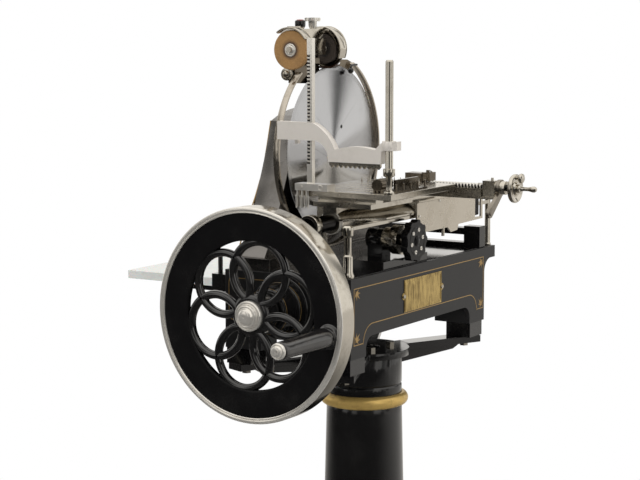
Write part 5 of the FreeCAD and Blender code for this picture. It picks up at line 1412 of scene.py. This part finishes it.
@dataclass
class Sharpener(Assembly):
    """The sharpener over the knife with its two stones."""

    body: str = "sharpener"
    level: float = 1414 * MM
    plane: float = -67 * MM
    tan_middle: float = -187 * MM
    grey_middle: float = -57 * MM
    cup_at: float = -155 * MM
    cup_foot: float = 1457.5 * MM
    felt_foot: float = 1474.6 * MM
    block_front: float = -64 * MM
    block_long: float = 18 * MM
    lobes: int = 8
    knob_radius: float = 16.3 * MM
    lobe_depth: float = 1.15 * MM
    hood_radius: float = 46.2 * MM
    dressed: dict[str, Finish] = wears(sharpener_head=PLATE)

    def build(self) -> None:
        """Dress the solids and add the pieces."""
        super().build()
        tan = Abrasive("tan_stone", "tan_stone", centre=(self.plane, self.tan_middle, self.level))
        grey = Abrasive("grey_stone", "grey_stone", colour=(0.045, 0.035, 0.028),
                        grain=(0.085, 0.065, 0.05), stain=(0.02, 0.017, 0.015),
                        centre=(self.plane, self.grey_middle, self.level))
        for wheel, nut, node, finish, chamfer, wide, metal in (
                ("tan_wheel", "stone_nut", "grinding_stone", tan, 2.2, 13.5, POLISHED_PAINTED_SHEEN),
                ("grey_wheel", "hone_nut", "honing_stone", grey, 1.6, 9.0, PLATE)):
            self.add(self.stone(wheel, node, chamfer), finish, node, body=node)
            self.add(self.nut(nut, node, wide), metal, body=node)
        self.add(self.star(), POLISHED_PAINTED_SHEEN, "star_knob", body="star_knob")
        # The drum's dark nickel paints the shade and dark reflections inside the hood.
        self.add(self.drum(), DARK_NICKEL)
        self.add(self.hoops(), PLATE)
        self.add(self.block(), BROWN)
        self.add(self.cup(), ENAMEL)
        self.add(self.cup_cap(), RED)

    def seat(self, y: float) -> Seat:
        """The spindle's axis at y, towards the person."""
        return Seat((self.plane, y, self.level), Axis.FRONT)

    def hoop(self, name: str, y: float, radius: float, sweep: tuple[float, float, int],
             wide: float, steps: int) -> bpy.types.Object:
        """Bend a round bar in a circle about the spindle.

        Args:
            name: The bar's name.
            y: Where it lies along the spindle, in millimetres.
            radius: The circle's radius.
            sweep: The first and last angle, in degrees, and the number of parts between them.
            wide: The bar's radius.
            steps: How many segments the bar's section has.

        Returns:
            A closed mesh.
        """
        start, end, count = sweep
        seat = self.seat(y * MM)
        path = [seat.ring(0, radius, math.radians(start + (end - start) * k / count))
                for k in range(count + 1)]
        return tube(name, path, wide, steps)

    def stone(self, name: str, node: str, chamfer: float) -> bpy.types.Object:
        """A stone with worn edges and a sunk middle.

        Args:
            name: The piece's name.
            node: The solid that it stands for.
            chamfer: How far its edges are worn, in millimetres.

        Returns:
            A closed mesh.
        """
        low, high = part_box(node)
        radius, thick, cut, bore = (high.x - low.x) / 2, high.y - low.y, chamfer * MM, 6.2 * MM
        sunk = thick - 0.7 * MM
        shape = [(bore, 0), (radius - cut, 0), (radius, cut * 0.7), (radius, thick - cut * 0.7),
                 (radius - cut, thick), (radius * 0.56, thick), (radius * 0.52, sunk), (bore, sunk)]
        return lathe(name, rounded(shape, 0.9 * MM, 3), self.seat(high.y))

    def nut(self, name: str, node: str, wide: float) -> bpy.types.Object:
        """The ringed nut that holds a stone on its spindle.

        Args:
            name: The piece's name.
            node: The stone's solid.
            wide: The nut's radius, in millimetres.

        Returns:
            A closed mesh.
        """
        low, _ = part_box(node)
        shape = [(6.1, 0), (wide, 0), (wide, 1.1), (wide * 0.86, 2.0), (wide * 0.80, 1.7),
                 (wide * 0.74, 3.2), (wide * 0.60, 4.4), (6.1, 4.4)]
        return turned(name, shape, self.seat(low.y + 0.7 * MM), 64, 0.5 * MM)

    def star(self) -> bpy.types.Object:
        """The eight-lobed adjusting knob on its waisted screw."""
        low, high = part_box("star_knob")
        x, y = (low.x + high.x) / 2, (low.y + high.y) / 2
        face = high.z - 8.0 * MM
        outline = []
        for angle in (2 * math.pi * step / 96 for step in range(96)):
            reach = self.knob_radius + self.lobe_depth * math.cos(self.lobes * angle)
            outline.append((x + reach * math.cos(angle), y + reach * math.sin(angle)))
        inner = [(x + (a - x) * 0.93, y + (b - y) * 0.93) for a, b in outline]
        parts = [slab(name, edge, thick * MM, lambda a, b, depth: (a, b, face + rise * MM + depth))
                 for name, edge, thick, rise in (
                     ("rim", outline, 5.6, 1.2), ("foot", inner, 1.4, 0.0), ("face", inner, 1.0, 6.6))]
        shape = [(0.1, 0), (4.9, 0), (4.9, 19), (3.9, 20), (3.9, 34), (4.6, 36), (8.6, 40),
                 (9.4, 44.5), (9.4, 46), (0.1, 46)]
        size = (MM, (face + 2 * MM - low.z) / 46)
        parts.append(turned("screw", shape, Seat((x, y, low.z)), 40, size=size))
        parts += slotted(Seat((x, y, high.z - 0.6 * MM)), 4.5 * MM, 0.6 * MM, 20.0)
        return merged("star_knob_turned", parts)

    def drum(self) -> bpy.types.Object:
        """The closed back of the right hood: a shallow cup of dark nickel behind the stone, its dark colour
        painted shade and dark reflection inside the hood.
        """
        shape = [(8.0, 0), (41.3, 0), (41.3, 5.0), (40.2, 5.0), (39.4, 2.6), (35, 2.2), (33, 3.2),
                 (30, 2.2), (8.0, 2.2)]
        cup = turned("cup", shape, self.seat(-43.2 * MM), 96)
        vanes = [self.hoop("vane", -66.5, radius * MM, (start, end, 16), width * MM, 8)
                 for start, end, radius, width in (
                     (40, 100, 38.5, 1.6), (15, 62, 36.5, 1.2), (110, 160, 39.0, 1.3))]
        return merged("hood_drum", [cup, *vanes])

    def hoops(self) -> bpy.types.Object:
        """Rolled bright edges on both hoods."""
        return merged("hood_edges", [
            self.hoop("hoop", y, self.hood_radius, (start, end, 40), 1.5 * MM, 10)
            for y, start, end in (
                (-70.4, 114, -24), (-43.8, 114, -24), (-200.4, 129, 31), (-174.0, 129, 31))])

    def block(self) -> bpy.types.Object:
        """The dark guard block under the honing stone."""
        outline = [(-98, 1381), (-92, 1376.5), (-48, 1376.5), (-36, 1381), (-36, 1378.5),
                   (-48, 1372.6), (-96, 1372.6)]
        return slab("hone_block", scaled(outline), self.block_long,
                    lambda a, b, depth: (a, self.block_front + depth, b))

    def cup(self) -> bpy.types.Object:
        """The black oil cup on the left hood."""
        shape = [(0.1, 0), (8.4, 0), (8.4, 2.5), (10.6, 4.0), (11.2, 8), (11.2, 15), (10.2, 17.4),
                 (0.1, 17.4)]
        return turned("oil_cup", shape, Seat((self.plane, self.cup_at, self.cup_foot)), 48, 1.1 * MM)

    def cup_cap(self) -> bpy.types.Object:
        """The red felt in the oil cup."""
        shape = [(0.1, 0), (7.8, 0), (7.8, 1.0), (6.6, 1.9), (0.1, 2.3)]
        return turned("oil_cup_felt", shape, Seat((self.plane, self.cup_at, self.felt_foot)), 40)


@dataclass
class Carriage(Assembly):
    """The sliding carriage with its cover, screw block and feed lever."""

    body: str = "carriage"
    way_top: float = 1106 * MM
    way_screws: tuple[tuple[float, float, float, float], ...] = (
        (-30, 180, 4.5, 20.0), (120, 250, 5.0, 70.0), (-30, 285, 4.5, 110.0), (134, 285, 4.5, 50.0))
    cover_face: float = 150.8 * MM
    cover_screws: tuple[Spot, ...] = ((-30, 1064), (60, 1090), (180, 1090))
    sleeve_end: Place = (50 * MM, -216.5 * MM, 1064 * MM)
    block_back: float = 122 * MM
    block_wide: float = 22 * MM
    bolt_at: Spot = (243 * MM, 1052 * MM)
    dressed: dict[str, Finish] = wears(
        carriage=CASTING, side_cover=COVER, screw_block=CASTING, feed_lever=DULL)

    def build(self) -> None:
        """Dress the solids and add the pieces."""
        super().build()
        self.add(self.fittings(), POLISHED_PAINTED_SHEEN)
        self.add(self.bearing_block(), BED_ENAMEL)

    def fittings(self) -> bpy.types.Object:
        """Small screws, oilers and the rings on the sleeve's front end."""
        parts = []
        for x, y, radius, turn in self.way_screws:
            parts += slotted(Seat((x * MM, y * MM, self.way_top)), radius * MM, 2.6 * MM, turn)
        for y, z in self.cover_screws:
            seat = Seat((self.cover_face, y * MM, z * MM), Axis.X)
            parts += slotted(seat, 3.6 * MM, 1.6 * MM, y * 1.7)
        for along in (0.0, 6.0):
            shape = [(22.6, along), (24.6, along + 0.6), (24.6, along + 3.4), (22.6, along + 4.0)]
            parts.append(turned("ring", shape, Seat(self.sleeve_end, Axis.FRONT), 64, 0.6 * MM))
        return merged("carriage_fittings", parts)

    def bearing_block(self) -> bpy.types.Object:
        """The black bearing block seen through the cover's window, with its bolt."""
        outline = rounded(oblong(227 * MM, 259 * MM, 1040 * MM, 1092 * MM), 3 * MM, 3)
        block = slab("block", outline, self.block_wide,
                     lambda a, b, depth: (self.block_back + depth, a, b))
        seat = Seat((self.block_back + self.block_wide, *self.bolt_at), Axis.X)
        return merged("window_block", [block, *slotted(seat, 5 * MM, 2 * MM, 30.0)])


@dataclass
class Feed(Assembly):
    """The feed table with its posts, clamp, screw and handwheel."""

    body: str = "feed_table"
    axis: Spot = (21 * MM, 1129 * MM)
    neck: float = 6 * MM
    thread_end: float = 277 * MM
    pitch: float = 7.5 * MM
    thread_steps: int = 20
    wheel_at: float = 345 * MM
    first_notch: float = 1187.3 * MM
    notch_pitch: float = 7.2 * MM
    notches: int = 31
    post_front: float = -273 * MM
    post_left: float = 23.2 * MM
    tine_count: int = 4
    first_tine: float = 5.5 * MM
    tine_pitch: float = 9.5 * MM
    tine_face: float = -286.2 * MM
    tine_bow: float = 1.2 * MM
    tine_top: float = 1124 * MM
    tine_drop: float = 26 * MM
    block_level: float = 1141 * MM
    pins_at: Place = (80 * MM, -30 * MM, 1133.2 * MM)
    dressed: dict[str, Finish] = wears(
        feed_table=CASTING, nut_box=DARK_NICKEL, plain_post=PLATE, end_grip=DARK_NICKEL)

    def build(self) -> None:
        """Dress the solids and add the pieces."""
        super().build()
        self.dress("toothed_post", POLISHED_PAINTED_SHEEN, 0.3 * MM)
        self.dress("clamp_comb", PLATE, 0.3 * MM)
        self.dress("clamp_bar", BAR, 1.2 * MM)
        self.screw()
        # The dark wedges in the post's notches are painted shadow.
        self.add(self.notch_shades(), BLUED)
        self.add(self.wheel(), PLATE, "feed_handwheel", body="feed_screw")
        self.add(self.tines(), POLISHED_PAINTED_SHEEN)
        self.add(self.table_pins(), PLATE)

    def screw(self) -> None:
        """Add the feed screw: a slim dark core with plain ends, and its bright helical thread."""
        low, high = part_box("feed_screw")
        left, right, length = self.neck, self.thread_end - low.x, high.x - low.x
        shape = [(0.1, 0), (6, 0), (6.6, MM), (6.6, left), (4.3, left + MM), (4.3, right - MM),
                 (6.9, right), (6.9, length), (0.1, length)]
        core = turned("screw_core", shape, Seat((low.x, *self.axis), Axis.X), 48, size=(MM, 1.0))
        seat, steps = Seat((low.x + left, *self.axis), Axis.X), self.thread_steps
        path = [seat.ring(self.pitch * k / steps, 5.2 * MM, 2 * math.pi * k / steps)
                for k in range(int((right - left) / self.pitch * steps))]

        def swell(share: float) -> float:
            """The ridge's radius, which fades out at both ends."""
            return 1.7 * MM * min(1.0, 30 * share + 0.1, 30 * (1 - share) + 0.1)

        ridge = tube("screw_thread", path, swell, 8)
        self.add(core, BLUED, "feed_screw", body="feed_screw")
        self.add(ridge, POLISHED_PAINTED_SHEEN, body="feed_screw")

    def wheel(self) -> bpy.types.Object:
        """The dished handwheel with its ringed hub, crank knob and spindle."""
        seat = Seat((self.wheel_at, *self.axis), Axis.X)
        above = Seat((self.wheel_at, self.axis[0] - 4 * MM, self.axis[1] + 22 * MM), Axis.X)
        dish = [(7.2, -6), (13, -6), (13.4, -1), (20, 1.0), (24, 0.2), (26.5, -1.0), (29, -0.6),
                (30, 1.2), (30, 5.8), (29, 7.6), (26.5, 8), (24.5, 7), (20, 4.4), (15, 5.2),
                (13.2, 8), (13, 10.5), (7.2, 11)]
        stem = [(0.1, 8), (9, 11), (9.6, 13), (9, 16), (6, 17.2), (5, 20), (4.2, 24), (4.2, 34),
                (5.4, 40), (6.4, 44), (6.2, 48), (4, 51.5), (0.1, 52)]
        knob = [(0.1, 6.5), (4, 6.5), (3.6, 11), (5, 13), (9.4, 16), (10.4, 19.5), (9.4, 22.5),
                (6, 24.5), (0.1, 25)]
        return merged("hand_wheel", [
            turned("dish", dish, seat, 72), turned("stem", stem, seat, 40),
            turned("knob", knob, above, 40)])

    def notch_shades(self) -> bpy.types.Object:
        """Thin dark wedges in the notches up the toothed post: painted shadow at the foot of each notch."""
        near, far = self.post_front + 1.2 * MM, self.post_front + 4.4 * MM
        parts = []
        for index in range(self.notches):
            foot = self.first_notch + self.notch_pitch * index
            root = [(near, foot), (far, foot), (near, foot + 3.4 * MM)]
            parts.append(slab("root", root, 7.0 * MM,
                              lambda a, b, depth: (self.post_left + depth, a, b)))
        return merged("notch_painted_shadows", parts)

    def tines(self) -> bpy.types.Object:
        """Four curved tines that hang from the post's foot block."""
        parts = []
        for index in range(self.tine_count):
            x = self.first_tine + self.tine_pitch * index
            path = [(x, self.tine_face + self.tine_bow * math.sin(t * 3.1),
                     self.tine_top - self.tine_drop * t) for t in (k / 8 for k in range(9))]
            parts.append(tube("tine", path, lambda share: (2.3 - 1.2 * share) * MM, 8))
        ring = Seat((62 * MM, -285.5 * MM, self.block_level), Axis.FRONT)
        parts.append(turned("ring", oblong(3.6, 6.4, 0, 1.6), ring, 40, 0.5 * MM))
        screw = Seat((16 * MM, -285.8 * MM, self.block_level), Axis.FRONT)
        parts += slotted(screw, 4.2 * MM, 2 * MM, 40.0)
        return merged("foot_tines", parts)

    def table_pins(self) -> bpy.types.Object:
        """Rows of short pins that keep the meat from sliding on the table."""
        recipe = Recipe("table_pins")
        across, along = recipe.ask("Across", 9), recipe.ask("Along", 2)
        height = recipe.ask("Height", 10 * MM)
        wide, deep = recipe.ask("Reach", 120 * MM), recipe.ask("Depth", 34 * MM)
        foot, tip = recipe.ask("Foot radius", 1.9 * MM), recipe.ask("Tip radius", 0.4 * MM)
        grid = recipe.chain("MeshGrid", Size_X=wide, Size_Y=deep, Vertices_X=across, Vertices_Y=along)
        pin = recipe.chain("MeshCone", Vertices=12, Radius_Top=tip, Radius_Bottom=foot, Depth=height)
        spread = recipe.chain("InstanceOnPoints", Points=grid, Instance=pin)
        moved = recipe.chain("Transform", Geometry=spread, Translation=self.pins_at)
        return shade(tidy_mesh(recipe.cook("meat_pins", moved, PLATE)), 40)


@dataclass
class Dial(Assembly):
    """The slice thickness dial with its screws, boss and raised ring."""

    body: str = "dial"
    middle: Spot = (-72 * MM, 1017.5 * MM)
    screws: int = 6
    screw_ring: float = 24 * MM
    dressed: dict[str, Finish] = wears(dial_spindle=PLATE, thickness_dial=DIAL_ENAMEL)

    def build(self) -> None:
        """Dress the solids and add the pieces."""
        super().build()
        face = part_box("thickness_dial")[1].x
        heads = []
        for index in range(self.screws):
            angle = math.radians(15 + 360 / self.screws * index)
            at = (face - 4.0 * MM, self.middle[0] + self.screw_ring * math.cos(angle),
                  self.middle[1] + self.screw_ring * math.sin(angle))
            heads += slotted(Seat(at, Axis.X), 4.7 * MM, 5.0 * MM, 40.0 * index)
        self.add(merged("dial_screws", heads), POLISHED_PAINTED_SHEEN)
        shape = [(0.1, 0), (11, 0), (11, 1.6), (8.8, 2.6), (8.0, 2.0), (6.4, 3.4), (0.1, 4.0)]
        boss = turned("boss", shape, Seat((face - 0.4 * MM, *self.middle), Axis.X), 56)
        shape = [(28, -0.5), (30.5, 0.6), (33, -0.5)]
        ring = turned("ring", shape, Seat((face, *self.middle), Axis.X), 96)
        self.add(merged("dial_boss", [boss, ring]), DIAL_ENAMEL)


@dataclass
class Tray(Assembly):
    """The receiving tray and its arm."""

    dressed: dict[str, Finish] = wears(tray_arm=ENAMEL, slice_tray=MARBLE)


# ------------------------------------------------------------------ studio


@dataclass
class Studio:
    """Floor, light, world and camera."""

    eye: Place = (2.0592, -3.5317, 1.5169)
    right: Place = (0.8517, 0.5240, 0.0)
    ahead: Place = (-0.5200, 0.8450, -0.1253)
    lens: float = 106.875
    daylight: float = 0.62
    gloom: float = 0.05
    front: float = 0.13
    windows: tuple[Place, ...] = (
        (-22.0, 9.0, 1.0), (-92.0, 5.0, 0.75), (-121.6, 5.0, 0.85), (-165.0, 8.0, 0.8))
    posts: tuple[Place, ...] = (
        (63.0, 2.6, 0.02), (97.0, 9.0, -0.02), (14.0, 6.0, -0.3), (150.0, 7.0, -0.3))
    floor_half: float = 40.0
    lamps: tuple[tuple[str, Place, Place, float, float], ...] = (
        ("key", (-1.6, -3.6, 3.6), (0, -0.1, 1.0), 1.8, 75.0),
        ("fill", (3.4, -1.2, 2.6), (0, 0, 1.0), 2.2, 45.0),
        ("top", (0.2, 0.4, 4.2), (0, 0, 1.0), 2.4, 50.0),
        ("rim", (-2.6, 2.6, 2.4), (0, 0, 1.1), 1.6, 30.0))

    def camera(self) -> None:
        """Make the camera."""
        data = bpy.data.cameras.new("camera")
        data.lens = self.lens
        data.sensor_width = 36.0
        data.clip_end = 100.0
        camera = bpy.data.objects.new("camera", data)
        bpy.context.scene.collection.objects.link(camera)
        back = -Vector(self.ahead).normalized()
        right = Vector(self.right).normalized()
        up = back.cross(right)
        turned_to = Matrix((right, up, back)).transposed().to_4x4()
        camera.matrix_world = Matrix.Translation(self.eye) @ turned_to
        bpy.context.scene.camera = camera

    def room(self, graph: Graph, way: Any) -> Value:
        """Brightness of the studio as polished metal shows it: white behind, dark in front.

        Args:
            graph: The graph that the maths goes into.
            way: The direction looked in.

        Returns:
            The brightness in that direction, with windows that brighten and posts that darken it.
        """

        def strip(middle: float, half: float, fade: float) -> Value:
            """An upright strip round the bearing middle, with soft edges, in degrees."""
            away = (turn - math.radians(middle)).size()
            return 1.0 - away.step(math.radians(half), math.radians(half + fade))

        across, depth, height = graph.split(way)
        turn = depth.turn_to(across)
        behind = depth.step(-0.30, 0.22)
        ceiling = height.step(0.30, 0.75)
        light = (behind * 0.90).most(ceiling * 1.05).most(height.step(-0.2, 0.35) * self.front)
        for middle, half, level in self.windows:
            light = light.most(strip(middle, half, 7.0) * height.step(-0.22, -0.08) * level)
        for middle, half, low in self.posts:
            shade_here = strip(middle, half, 3.0) * height.step(low, low + 0.06) * (1.0 - ceiling)
            light = light * (1.0 - shade_here * 0.93)
        return light + self.gloom

    def world(self) -> None:
        """Light the scene softly from all sides, with a white backdrop."""
        world = bpy.data.worlds.new("studio")
        bpy.context.scene.world = world
        world.use_nodes = True
        graph = Graph(world.node_tree)
        graph.tree.nodes.clear()
        path = graph.node("ShaderNodeLightPath").outputs
        way = graph.node("ShaderNodeTexCoord").outputs["Generated"]

        def sky(colour: Colour, strength: Any) -> bpy.types.NodeSocket:
            """A background of one colour."""
            inputs = {"Color": (*colour, 1), "Strength": strength}
            return graph.node("ShaderNodeBackground", None, inputs).outputs[0]

        daylight = sky((1, 1, 1), self.daylight)
        mirror = sky((1.0, 0.975, 0.93), self.room(graph, way))
        backdrop = sky((1, 1, 1), 1.0)
        lit = graph.blend(path["Is Glossy Ray"], daylight, mirror)
        clear = Value(graph, path["Is Camera Ray"]).most(Value(graph, path["Is Transmission Ray"]))
        final = graph.blend(clear, lit, backdrop)
        graph.node("ShaderNodeOutputWorld", None, {"Surface": final})

    def lamp(self, name: str, at: Point, aim: Point, size: float, power: float) -> None:
        """Add a square soft light.

        Args:
            name: Its name.
            at: Where it stands.
            aim: What it points at.
            size: The side of its square.
            power: Its power in watts.
        """
        data = bpy.data.lights.new(name, "AREA")
        data.size = size
        data.energy = power
        lamp = bpy.data.objects.new(name, data)
        bpy.context.scene.collection.objects.link(lamp)
        lamp.location = at
        lamp.visible_glossy = False
        lamp.rotation_euler = (Vector(aim) - Vector(at)).to_track_quat("-Z", "Y").to_euler()

    def floor(self) -> None:
        """Lay a wide pale floor that keeps the slicer's shadow and fades into the backdrop."""
        half = self.floor_half
        corners = [(x, y, 0) for x, y in oblong(-half, half, -half, half)]
        floor = mesh_object("floor", corners, [(0, 1, 2, 3)])
        painter = Painter("floor")
        tone = painter.noise(1.5, 2.0) * 0.02 + 0.88
        colour = painter.node("ShaderNodeCombineColor", None, {0: tone, 1: tone, 2: tone}).outputs[0]
        painter.set(base_color=colour, roughness=0.9, specular_ior_level=0.1)
        path = painter.node("ShaderNodeLightPath").outputs
        seen = Value(painter, path["Is Camera Ray"]).most(Value(painter, path["Is Transmission Ray"]))
        away = painter.reach((0, 0, 0), (1, 1, 0))
        white = painter.node("ShaderNodeEmission", None, {"Color": (1, 1, 1, 1), "Strength": 1.0})
        share = seen * (away.step(1.0, 1.9) * 0.35 + 0.65)
        mixed = painter.blend(share, painter.surface.outputs[0], white.outputs[0])
        # In reflections the floor glows instead of being lit: painted light, brighter far behind and darker
        # near the slicer as a painted shadow.
        depth = painter.split(painter.coordinates)[1]
        painted_floor_glow = depth.step(-1.5, 2.5) * 0.62 * (away.step(0.4, 1.6) * 0.7 + 0.3) + 0.045
        mirror = painter.node("ShaderNodeEmission", None,
                              {"Color": (1.0, 0.96, 0.90, 1), "Strength": painted_floor_glow})
        final = painter.blend(path["Is Glossy Ray"], mixed, mirror.outputs[0])
        output = next(node for node in painter.tree.nodes if node.bl_idname == "ShaderNodeOutputMaterial")
        painter.feed(output.inputs["Surface"], final)
        floor.data.materials.append(painter.material)

    def build(self) -> None:
        """Make the whole studio."""
        self.camera()
        self.world()
        for lamp in self.lamps:
            self.lamp(*lamp)
        self.floor()
        bpy.context.scene.view_settings.view_transform = "Standard"


def main() -> None:
    """Build the studio and every assembly, in order."""
    logging.basicConfig(level=logging.INFO, format="%(name)s: %(message)s")
    Studio().build()
    assemblies: list[Assembly] = [
        Pedestal(), Bed(), Flywheel(), Gears(), KnifeSide(), Sharpener(), Carriage(), Feed(), Dial(),
        Tray()]
    for assembly in assemblies:
        assembly.build()
        LOG.info("%s finished", type(assembly).__name__)


if __name__ == "__main__":
    main()
